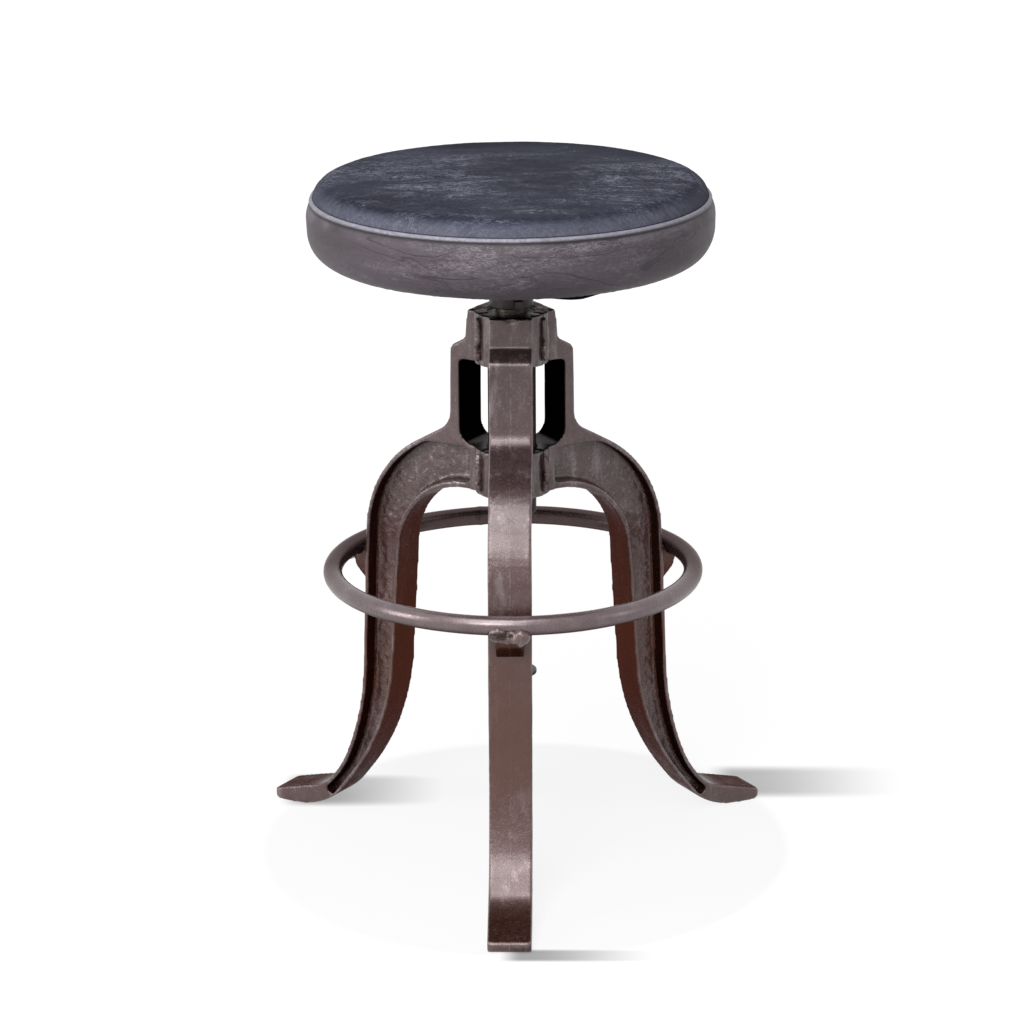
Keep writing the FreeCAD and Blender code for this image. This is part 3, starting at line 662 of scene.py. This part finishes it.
WELD_TONES = dict(
    skin=rgb(92, 72, 70), cloud=rgb(74, 56, 55), mottle=rgb(110, 92, 90), shaded=rgb(50, 33, 28)
)
weld_iron = iron_material("weld_metal", WELD_TONES, rgb(160, 150, 152), 0.3)
for level, (low, high) in SEAM_LEVELS.items():
    for side, azimuth in SEAM_AZIMUTH.items():
        out = outward_at(math.radians(azimuth))
        base = out * SEAM_RADIUS
        bead = weld_bead(
            f"hub_bead_{level}_{side}", base + (0, 0, low), base + (0, 0, high), SEAM_BEAD, out,
            5 + len(side), 4.2, 0.3,
        )
        set_material(bead, weld_iron)
        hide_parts(f"hub_weld_{level}_{side}")
        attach(bead, "frame")

for side, azimuth in LEG_AZIMUTH.items():
    out = outward_at(math.radians(azimuth))
    tangent = outward_at(math.radians(azimuth + 90.0))
    middle = out * RING_BEAD_RADIUS + (0, 0, RING_BEAD_HEIGHT)
    bead = weld_bead(
        f"ring_bead_{side}", middle - tangent * 21 + (0, 0, 2), middle + tangent * 20 - (0, 0, 2),
        RING_BEAD, out, 5 + len(side), 6.0, 0.42, 0.95, 40,
    )
    set_material(bead, weld_iron)
    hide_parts(f"ring_weld_{side}")
    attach(bead, "frame")


# Sleeve, stop washer, set screw, bolts, nuts and seat flange: turned and bought parts with their
# sharp edges broken, the sleeve, stop washer, set screw and flange blackened, the bolts and nuts left
# oily and bright.
def steel_material(name, dark, light, roughness, metallic):
    """Machined steel, oiled: cloudy stain and fine tool marks around the axis."""
    steel = Material(name)
    tool_marks = steel.object.stretched(1.0, 1.0, 14.0).noise(60.0, 3.0)
    stain = steel.object.noise(38.0, 4.0, 0.6)
    return steel.set(
        Base_Color=stain.ramp(0.35, 0.7).mix(dark, light),
        Roughness=stain.ramp(0.3, 0.7, roughness + 0.12, roughness),
        Metallic=metallic,
        Normal=steel.bump(tool_marks, 0.0003, 0.35),
    )


def broken_edges(node, name, width):
    """Copy of a CAD node with flat faces made whole and its sharp edges bevelled."""
    obj = merged_copy(node, name)
    work = bmesh.new()
    work.from_mesh(obj.data)
    bmesh.ops.dissolve_limit(work, angle_limit=0.01, verts=work.verts, edges=work.edges)
    work.to_mesh(obj.data)
    work.free()
    obj.data.polygons.foreach_set("use_smooth", [True] * len(obj.data.polygons))
    bevel = obj.modifiers.new("edges", "BEVEL")
    bevel.width = width * MM
    bevel.segments = 2
    bevel.limit_method = "ANGLE"
    bevel.angle_limit = math.radians(40)
    bevel.harden_normals = True
    return obj


sleeve_steel = steel_material("sleeve_steel", rgb(40, 30, 28), rgb(74, 60, 58), 0.38, 0.5)
bright_steel = steel_material("oiled_steel", rgb(88, 80, 74), rgb(128, 120, 113), 0.34, 0.9)
flange_iron = steel_material("flange_iron", rgb(30, 22, 21), rgb(58, 46, 44), 0.4, 0.3)
HARDWARE = {
    "sleeve": ("sleeve_tube", sleeve_steel, "dark_steel", "frame", 0.6),
    "stop_washer": ("stop_disc", sleeve_steel, "bright_steel", "lift", 0.4),
    "stop_bolt": ("stop_screw", bright_steel, "bright_steel", "seat", 0.5),
    "seat_flange": ("flange_casting", flange_iron, "cast_iron", "seat", 0.8),
    "set_screw": ("boss_set_screw", sleeve_steel, "dark_steel", "seat", 0.5),
    "flange_bolts": ("plate_screws", bright_steel, "bright_steel", "seat", 0.4),
    "tee_nuts": ("board_nuts", bright_steel, "bright_steel", "seat", 0.25),
}
for node, (name, material, slot_name, body, width) in HARDWARE.items():
    part = broken_edges(node, name, width)
    set_material(part, material)
    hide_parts(node)
    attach(part, body)

# Screw: a turned steel bar with one rolled thread of 6.35 mm lead, flat on its crests,
# oiled, its top end plain where the flange's boss is driven on.
SCREW_RADIUS, SPIGOT_RADIUS = 15.875, 13.0
SCREW_LOW, SCREW_HIGH, SPIGOT_HIGH = 190.0, 571.0, 606.0
THREAD_LEAD, THREAD_DEPTH, PLAIN_TURNS = 6.35, 2.4, 6
ROD_SEGMENTS, ROWS_A_TURN = 56, 16


def threaded_rod():
    """Rod of circles whose radius drops where the phase z / lead - turn is in the groove, whose
    flanks are smoothsteps, and which fades out at both ends; returns points and the row count."""
    rows = int((SCREW_HIGH - SCREW_LOW) / THREAD_LEAD * ROWS_A_TURN)
    z, turn = np.meshgrid(
        np.linspace(SCREW_LOW, SCREW_HIGH, rows), np.arange(ROD_SEGMENTS) * TAU / ROD_SEGMENTS, indexing="ij"
    )
    phase = (z / THREAD_LEAD - turn / TAU) % 1.0
    groove = smooth(0.30, 0.42, phase) * smooth(0.98, 0.86, phase)
    fade = smooth(SCREW_LOW, SCREW_LOW + THREAD_LEAD, z)
    fade *= smooth(SCREW_HIGH, SCREW_HIGH - PLAIN_TURNS * THREAD_LEAD, z)
    r = SCREW_RADIUS - THREAD_DEPTH * groove * fade
    return np.stack([r * np.cos(turn), r * np.sin(turn), z], axis=2).reshape(-1, 3), rows


rod_points, rod_rows = threaded_rod()
rod_turn = np.arange(ROD_SEGMENTS) * TAU / ROD_SEGMENTS
spigot_rings = [outward_at(rod_turn) * SPIGOT_RADIUS + (0, 0, z) for z in (SCREW_HIGH, SPIGOT_HIGH)]
rod_points = np.concatenate([rod_points, *spigot_rings])
rod_faces = [tuple(f) for f in grid_faces(rod_rows + 2, ROD_SEGMENTS)]
rod_faces.append(tuple(range(ROD_SEGMENTS - 1, -1, -1)))
rod_faces.append(tuple(range(len(rod_points) - ROD_SEGMENTS, len(rod_points))))
screw = new_mesh("screw_thread", rod_points, rod_faces)
set_material(screw, bright_steel)
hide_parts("screw")
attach(screw, "seat")

# Seat board: an 18 mm plywood disc with rounded edges, bolted to the flange and hidden
# by the pad and the leather.
PLIES_A_METRE = 700.0
ply = Material("birch_ply")
ply_grain = ply.object.stretched(1.0, 14.0, 1.0).noise(18.0, 4.0)
ply_phase = ply.object.separate(2) * PLIES_A_METRE
ply_layer = ply.base.maths("FRACT", ply_phase).ramp(0.4, 0.6)
ply_tone = ply_grain.ramp(0.3, 0.7).mix(rgb(196, 160, 112), rgb(168, 130, 86))
ply.set(Base_Color=(ply_layer * 0.35).mix(ply_tone, rgb(130, 96, 62)), Roughness=0.7)
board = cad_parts["seat_board"]
set_material(board, ply.material)

# Leather round: the top panel, waxed charcoal leather drawn tight over the pad, with a
# full shoulder at its edge and small gathers where it is sewn to the piping.
# Its colour carries painted light: scuffs lit less towards the back, a painted highlight along the
# front rim and painted shade at the seam.
SEAM_HEIGHT = 680.0
CROWN_EDGE, CROWN_FLAT, EDGE_RISE = 195.0, 175.0, 1.5
CROWN_SPHERE, CROWN_SHOULDER = 4500.0, 21.0
TOP_THICKNESS = 2.2
AROUND = 384
TOP_ROWS = 130


def arc(centre, radius, start, end, count):
    """Points (r, z) on a circle's arc, angles from the Z axis."""
    angles = np.linspace(start, end, count)
    return np.stack([centre[0] + radius * np.sin(angles), centre[1] + radius * np.cos(angles)], axis=1)


def crown_profile(inset, rows):
    """(r, z) from the crown's middle to its edge, moved in by inset: a shallow sphere's arc that
    runs on into the shoulder's arc, which ends at the crown's edge."""
    begin = math.asin(CROWN_FLAT / CROWN_SPHERE)
    finish = math.asin(math.sin(begin) + (CROWN_EDGE - CROWN_FLAT) / CROWN_SHOULDER)
    shoulder = (
        CROWN_EDGE - CROWN_SHOULDER * math.sin(finish),
        SEAM_HEIGHT + EDGE_RISE - CROWN_SHOULDER * math.cos(finish),
    )
    sphere_z = shoulder[1] - (CROWN_SPHERE - CROWN_SHOULDER) * math.cos(begin)
    flat = arc((0.0, sphere_z), CROWN_SPHERE - inset, 0.0, begin, rows // 2)
    bend = arc(shoulder, CROWN_SHOULDER - inset, begin, finish, rows - rows // 2 + 1)
    return np.concatenate([flat, bend[1:]])


def swept(profile, around):
    """Grid of points of an (r, z) profile turned about the Z axis, with the angle of each."""
    r, angle = np.meshgrid(profile[:, 0], np.arange(around) * TAU / around, indexing="ij")
    z = np.repeat(profile[:, 1][:, None], around, axis=1)
    return np.stack([r * np.cos(angle), r * np.sin(angle), z], axis=2).reshape(-1, 3), angle.ravel()


def thickened(obj, thickness):
    """Gives a surface its thickness, inward of its faces."""
    solid = obj.modifiers.new("thickness", "SOLIDIFY")
    solid.thickness = thickness * MM
    solid.offset = -1


def leather_material(name, tones, stretch, roughness, specular, veins, creased):
    """Worn leather: cloudy tone, pale streaky scuffed patches with painted light on them, a painted
    highlight, veins, creases and seams darkened by painted shade, and grain.
    """
    leather = Material(name)
    where = leather.object
    drawn = where.stretched(*stretch)
    scuff_and_light, painted_sheen, seam_and_crease_shade = (leather.attribute(key) for key in ("scuff_and_light", "painted_sheen", "seam_and_crease_shade"))
    cloud = drawn.noise(6.0, 4.0, 0.6, 0.4)
    patch = drawn.noise(15.0, 5.0, 0.7, 0.6)
    nap = drawn.noise(110.0, 7.0, 0.9, 1.6)
    vein = abs(where.noise(16.0, 3.0, 0.6, 1.4) - 0.5).ramp(0.0, 0.006, 1.0, 0.0) * patch.ramp(0.45, 0.6)
    fold = abs(drawn.noise(8.0, 2.0, 0.5, 0.6) - 0.5).ramp(0.0, 0.016, 1.0, 0.0) * cloud.ramp(0.4, 0.5)
    # Pale scuffed patches; their mask also carries painted light, fading them towards the back of the top and
    # the bottom of the band.
    rubbed_and_lit = patch.ramp(0.42, 0.6, 0.3, 1.0) * nap.ramp(0.47, 0.58) * scuff_and_light
    tone = cloud.ramp(0.34, 0.66).mix(tones["deep"], tones["soft"])
    tone = rubbed_and_lit.mix(tone, tones["rubbed_and_lit"])
    # Painted sheen: a pale highlight painted into the colour.
    tone = (painted_sheen * nap.ramp(0.4, 0.6, 0.55, 1.0)).mix(tone, tones["painted_sheen"])
    tone = (vein * veins).mix(tone, tones["vein"])
    # Painted shade in folds, creases and seams.
    tone = (fold * creased).most(seam_and_crease_shade).mix(tone, tones["seam_and_crease_shade"])
    pores = where.cells(520.0).ramp(0.0, 0.8)
    relief = pores * 0.25 + nap * 0.5 + where.noise(90.0, 4.0, 0.6) * 0.6 - vein * 0.15 - fold * creased
    return leather.set(
        Base_Color=tone, Roughness=nap.ramp(0.35, 0.7, roughness, roughness + 0.14),
        Normal=leather.bump(relief, 0.0007, 0.8), Specular_IOR_Level=specular,
    )


TOP_TONES = dict(
    deep=rgb(26, 27, 38), soft=rgb(42, 44, 56), rubbed_and_lit=rgb(134, 136, 152), painted_sheen=rgb(112, 113, 127),
    vein=rgb(150, 150, 160), seam_and_crease_shade=rgb(20, 20, 25),
)
top_profile = np.concatenate([
    crown_profile(0.0, TOP_ROWS)[1:], [(CROWN_EDGE, SEAM_HEIGHT), (CROWN_EDGE - 1.6, SEAM_HEIGHT - 2.0)]
])
top_points, top_angle = swept(top_profile, AROUND)
top_radius = np.hypot(top_points[:, 0], top_points[:, 1])
near_edge = smooth(168.0, 190.0, top_radius)
above_seam = smooth(SEAM_HEIGHT, SEAM_HEIGHT + 3.0, top_points[:, 2])
gathers = layered_round(top_angle, 26, top_radius * 0.05, 2, 5)
dents = layered(top_points * (1, 1, 0), 80.0, 3, 11)
top_points[:, 2] += (0.7 * dents * (1 - near_edge) + 0.4 * gathers * near_edge) * above_seam
top_points = np.concatenate([top_points, [[0.0, 0.0, top_profile[0, 1] + 0.1]]])
top_faces = [tuple(f) for f in grid_faces(len(top_profile), AROUND)[:, ::-1]]
top_faces += [(len(top_points) - 1, j, (j + 1) % AROUND) for j in range(AROUND)]
top = new_mesh("leather_round", top_points, top_faces)
top_radius = np.hypot(top_points[:, 0], top_points[:, 1])
# Scuffs, faded out towards the back and past the edge: the fade is painted light.
top_scuff_and_light = 0.35 + 0.65 * smooth(-0.4, 0.5, layered(top_points * (1, 1, 0), 90.0, 2, 21))
top_scuff_and_light *= smooth(170.0, 40.0, top_points[:, 1]) * smooth(200.0, 175.0, top_radius)
# Painted sheen along the front rim, strongest at the front.
top_painted_sheen = smooth(182.0, 194.5, top_radius) * (0.05 + 0.65 * smooth(60.0, -150.0, top_points[:, 1]))
point_attribute(top, "scuff_and_light", top_scuff_and_light)
point_attribute(top, "painted_sheen", top_painted_sheen)
# Painted shade on the top's edge just above the seam.
point_attribute(top, "seam_and_crease_shade", smooth(SEAM_HEIGHT + 4.6, SEAM_HEIGHT + 3.0, top_points[:, 2]))
thickened(top, TOP_THICKNESS)
set_material(top, leather_material("charcoal_leather", TOP_TONES, (1.0, 2.2, 1.0), 0.55, 0.02, 0.5, 0.0))
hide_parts("leather_top")
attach(top, "seat")

# Boxing band: one strip of softer grey-brown leather, full below the seam, creased along
# its length, rounded in below and pleated where it turns under the board.
# Its colour carries painted light: lighter upwards, painted highlights on the tucks and painted
# shade in the creases and at the seam.
BAND_CORNERS = [
    (194.5, SEAM_HEIGHT, 0.0), (199.4, 669.3, 29.0), (197.1, 621.6, 29.0), (160.0, 621.6, 0.0)
]
BAND_THICKNESS = 2.0
BAND_STEP = 1.1
BAND_AROUND = AROUND * 2


def rounded_profile(corners, step):
    """(r, z) points along corners (r, z, bend), each rounded to its bend, about step apart."""
    points = [np.array(corners[0][:2], float)]
    for before, corner, after in zip(corners, corners[1:], corners[2:]):
        p, c, n = (np.array(x[:2], float) for x in (before, corner, after))
        u, v = (p - c) / np.linalg.norm(p - c), (n - c) / np.linalg.norm(n - c)
        half = math.acos(np.clip(u @ v, -1, 1)) / 2
        reach = corner[2] / math.tan(half)
        axis = (u + v) / np.linalg.norm(u + v)
        middle = c + axis * corner[2] / math.sin(half)
        start, end = c + u * reach, c + v * reach
        first = math.atan2(*(start - middle)[::-1])
        sweep = math.remainder(math.atan2(*(end - middle)[::-1]) - first, TAU)
        angles = first + np.linspace(0, 1, 13) * sweep
        points.extend(middle + corner[2] * np.stack([np.cos(angles), np.sin(angles)], axis=1))
    points.append(np.array(corners[-1][:2], float))
    points = np.array(points)
    lengths = np.concatenate([[0], np.cumsum(np.linalg.norm(np.diff(points, axis=0), axis=1))])
    at = np.linspace(0, lengths[-1], max(4, int(lengths[-1] / step)))
    return np.stack([np.interp(at, lengths, points[:, k]) for k in range(2)], axis=1)


BAND_TONES = dict(
    deep=rgb(62, 54, 59), soft=rgb(78, 71, 78), rubbed_and_lit=rgb(126, 119, 126), painted_sheen=rgb(112, 106, 114),
    vein=rgb(140, 132, 136), seam_and_crease_shade=rgb(38, 31, 33),
)
band_profile = rounded_profile(BAND_CORNERS, BAND_STEP)
band_points, band_angle = swept(band_profile, BAND_AROUND)
band_z = band_points[:, 2].copy()
flow = np.stack([band_angle * 31.0, band_z, 0 * band_z], axis=1)
creases = layered(flow, 16.0, 3, 7)
broken = smooth(0.0, 0.45, layered(flow * (0.5, 0.4, 1), 30.0, 2, 9) + 0.12)
ridge = (1 - np.abs(creases)) ** 9 * broken
on_wall = smooth(626.0, 640.0, band_z) * smooth(679.0, 672.0, band_z)
tucks = layered(flow * (3.2, 0.25, 1), 10.0, 2, 17) * smooth(658.0, 674.0, band_z)
push = on_wall * (0.8 * layered(flow, 34.0, 2, 3) - 1.2 * ridge)
push += 0.35 * tucks * smooth(679.5, 676.0, band_z)
band_radius = np.hypot(band_points[:, 0], band_points[:, 1])
turned_in = smooth(186.0, 172.0, band_radius) * smooth(640.0, 624.0, band_z)
pleats = layered_round(band_angle, 26, 0.0, 2, 13)
band_points += outward_at(band_angle) * push[:, None]
band_points[:, 2] -= 0.8 * turned_in * np.abs(pleats)
band = new_mesh("boxing_band", band_points, grid_faces(len(band_profile), BAND_AROUND))
# Scuffs on the band, lighter upwards: the upward lift is painted light.
band_scuff_and_light = smooth(-0.5, 0.6, layered(flow, 60.0, 2, 19)) * smooth(612.0, 655.0, band_z)
seam_shade = smooth(675.0, 677.4, band_z) + 0.5 * smooth(0.1, 0.9, -tucks) * smooth(664.0, 675.0, band_z)
point_attribute(band, "scuff_and_light", band_scuff_and_light)
# Painted highlights on the tucks below the seam.
point_attribute(band, "painted_sheen", 0.5 * smooth(0.0, 0.8, tucks) * smooth(664.0, 673.0, band_z))
# Painted shade along the creases, at the seam and beside the tucks.
point_attribute(band, "seam_and_crease_shade", np.clip(0.6 * ridge * on_wall + seam_shade, 0, 1))
thickened(band, BAND_THICKNESS)
set_material(band, leather_material("grey_leather", BAND_TONES, (1.0, 1.0, 3.6), 0.46, 0.3, 0.35, 0.6))
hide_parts("side_band")
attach(band, "seat")

# Piping: a cord wrapped in a strip of the band's leather and sewn into the seam, a
# little uneven, with a painted highlight along its top and painted shade on its inner and under sides.
PIPING_RING, PIPING_RADIUS, PIPING_SECTION = 194.6, 3.2, 18
PIPE_TONES = dict(
    deep=rgb(66, 62, 69), soft=rgb(80, 76, 84), rubbed_and_lit=rgb(126, 122, 132), painted_sheen=rgb(160, 158, 170),
    vein=rgb(150, 146, 152), seam_and_crease_shade=rgb(26, 24, 27),
)
pipe_points, _, pipe_turn, pipe_roll = torus_points(
    PIPING_RING, PIPING_RADIUS, SEAM_HEIGHT, BAND_AROUND, PIPING_SECTION
)
wobble = 0.25 * layered_round(pipe_turn, 60, 0.0, 2, 31)
pipe_points += outward_at(pipe_turn) * wobble[:, None]
piping = new_mesh("seat_piping", pipe_points, grid_faces(BAND_AROUND, PIPING_SECTION, closed=True)[:, ::-1])
# Painted highlight along the piping's outer top, stronger at the front.
lit_top = smooth(-0.1, 0.5, np.sin(pipe_roll)) * smooth(2.0, 1.2, pipe_roll)
# Painted shade on the piping's inner and under sides.
pipe_shade = np.maximum(smooth(-0.2, -0.7, np.sin(pipe_roll)), smooth(1.4, 2.0, pipe_roll))
point_attribute(piping, "scuff_and_light", 0.5)
point_attribute(piping, "painted_sheen", lit_top * (0.35 + 0.4 * smooth(60.0, -180.0, pipe_points[:, 1])))
point_attribute(piping, "seam_and_crease_shade", pipe_shade)
set_material(piping, leather_material("piping_leather", PIPE_TONES, (1.0, 1.0, 1.0), 0.38, 0.4, 0.2, 0.0))
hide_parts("piping")
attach(piping, "seat")

# Foam pad: one moulded block inside the leather that lies on the board and laps its
# edge, hidden in use.
PAD_BELOW_LEATHER, PAD_AROUND = 4.2, 96
PAD_LOW, BOARD_TOP, BOARD_EDGE, PAD_MIDDLE = 633.0, 642.6, 177.0, 4.0
PAD_CORNERS = [(191.0, 679.0, 0), (196.0, 669.0, 25.8), (193.8, 625.0, 25.8), (160.0, 625.0, 0)]
foam = Material("foam")
foam.set(
    Base_Color=foam.object.noise(40.0).ramp(0.3, 0.7).mix(rgb(226, 212, 170), rgb(206, 190, 146)),
    Roughness=0.9,
    Normal=foam.bump(foam.object.cells(700.0), 0.0006, 0.8),
)
pad_wall = rounded_profile(PAD_CORNERS, 3.0)
pad_wall = pad_wall[pad_wall[:, 1] > PAD_LOW]
pad_underside = [(BOARD_EDGE, PAD_LOW), (BOARD_EDGE, BOARD_TOP), (PAD_MIDDLE, BOARD_TOP)]
pad_profile = np.concatenate([crown_profile(PAD_BELOW_LEATHER, 40)[1:], pad_wall, pad_underside])
pad_points, _ = swept(pad_profile, PAD_AROUND)
pad_faces = [tuple(f) for f in grid_faces(len(pad_profile), PAD_AROUND)[:, ::-1]]
pad_faces.append(tuple(range(PAD_AROUND)))
pad_faces.append(tuple(range(len(pad_points) - 1, len(pad_points) - 1 - PAD_AROUND, -1)))
pad = new_mesh("foam_core", pad_points, pad_faces)
set_material(pad, foam.material)
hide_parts("foam_pad")
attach(pad, "seat")

# Dust cover: thin black cloth laid over the turned-in leather under the board, gathered
# a little at its edge, which sags at the front right, and stapled all round.
COVER_HOLE, COVER_EDGE, COVER_HEIGHT, COVER_AROUND = 16.0, 174.0, 622.9, 300
CLOTH_THICKNESS = 0.5
SAG_AZIMUTH, SAG_WIDTH, SAG_DEPTH = math.radians(292), 0.13, 4.0
cloth = Material("dust_cloth")
cloth_weave = cloth.object.noise(1400.0, 2.0)
cloth.set(Base_Color=rgb(20, 19, 20), Roughness=0.9, Normal=cloth.bump(cloth_weave, 0.0003, 0.6))
cover_r = np.concatenate([np.linspace(COVER_HOLE, 156, 40), np.linspace(158, COVER_EDGE, 14)])
cover_z = COVER_HEIGHT - 2.2 * smooth(152.0, 162.0, cover_r)
cover_points, cover_angle = swept(np.stack([cover_r, cover_z], axis=1), COVER_AROUND)
cover_radius = np.hypot(cover_points[:, 0], cover_points[:, 1])
ruffle = layered_round(cover_angle, 18, cover_radius * 0.05, 2, 41)
sag = np.exp(-(((cover_angle - SAG_AZIMUTH) / SAG_WIDTH) ** 2)) * smooth(140.0, COVER_EDGE, cover_radius)
cover_points[:, 2] -= 0.5 * np.abs(ruffle) * smooth(120.0, 170.0, cover_radius) + SAG_DEPTH * sag
cover = new_mesh("dust_cloth", cover_points, grid_faces(len(cover_r), COVER_AROUND))
thickened(cover, CLOTH_THICKNESS)
set_material(cover, cloth.material)
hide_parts("dust_cover")
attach(cover, "seat")

# Staples: round the dust cover's edge, bright wire crowns driven flat against the cloth,
# not quite evenly spaced and not quite square to the edge.
STAPLE_COUNT, STAPLE_CIRCLE, STAPLE_HEIGHT = 64, 167.0, 620.1
STAPLE_LENGTH, STAPLE_WIDTH, STAPLE_LOW, STAPLE_HIGH = 10.0, 1.2, -0.45, 0.5
number = np.arange(STAPLE_COUNT)
staple_turn = (number + 0.25 * np.sin(number * 2.4)) * TAU / STAPLE_COUNT
staple_tilt = staple_turn + TAU / 4 + 0.35 * np.sin(number * 5.1)
box_x, box_y, box_z = (a.ravel() for a in np.meshgrid(
    (-STAPLE_LENGTH / 2, STAPLE_LENGTH / 2), (-STAPLE_WIDTH / 2, STAPLE_WIDTH / 2), (STAPLE_LOW, STAPLE_HIGH),
    indexing="ij",
))
box_faces = np.array([(0, 1, 3, 2), (4, 6, 7, 5), (0, 4, 5, 1), (2, 3, 7, 6), (0, 2, 6, 4), (1, 5, 7, 3)])
staple_points = (
    outward_at(staple_turn)[:, None] * STAPLE_CIRCLE
    + outward_at(staple_tilt)[:, None] * box_x[None, :, None]
    + outward_at(staple_tilt + TAU / 4)[:, None] * box_y[None, :, None]
)
staple_points[:, :, 2] = box_z + STAPLE_HEIGHT
staple_faces = (box_faces[None] + 8 * number[:, None, None]).reshape(-1, 4)
staples = new_mesh("cover_staples", staple_points.reshape(-1, 3), staple_faces)
staples.data.polygons.foreach_set("use_smooth", [False] * len(staples.data.polygons))
set_material(staples, bright_steel)
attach(staples, "seat")
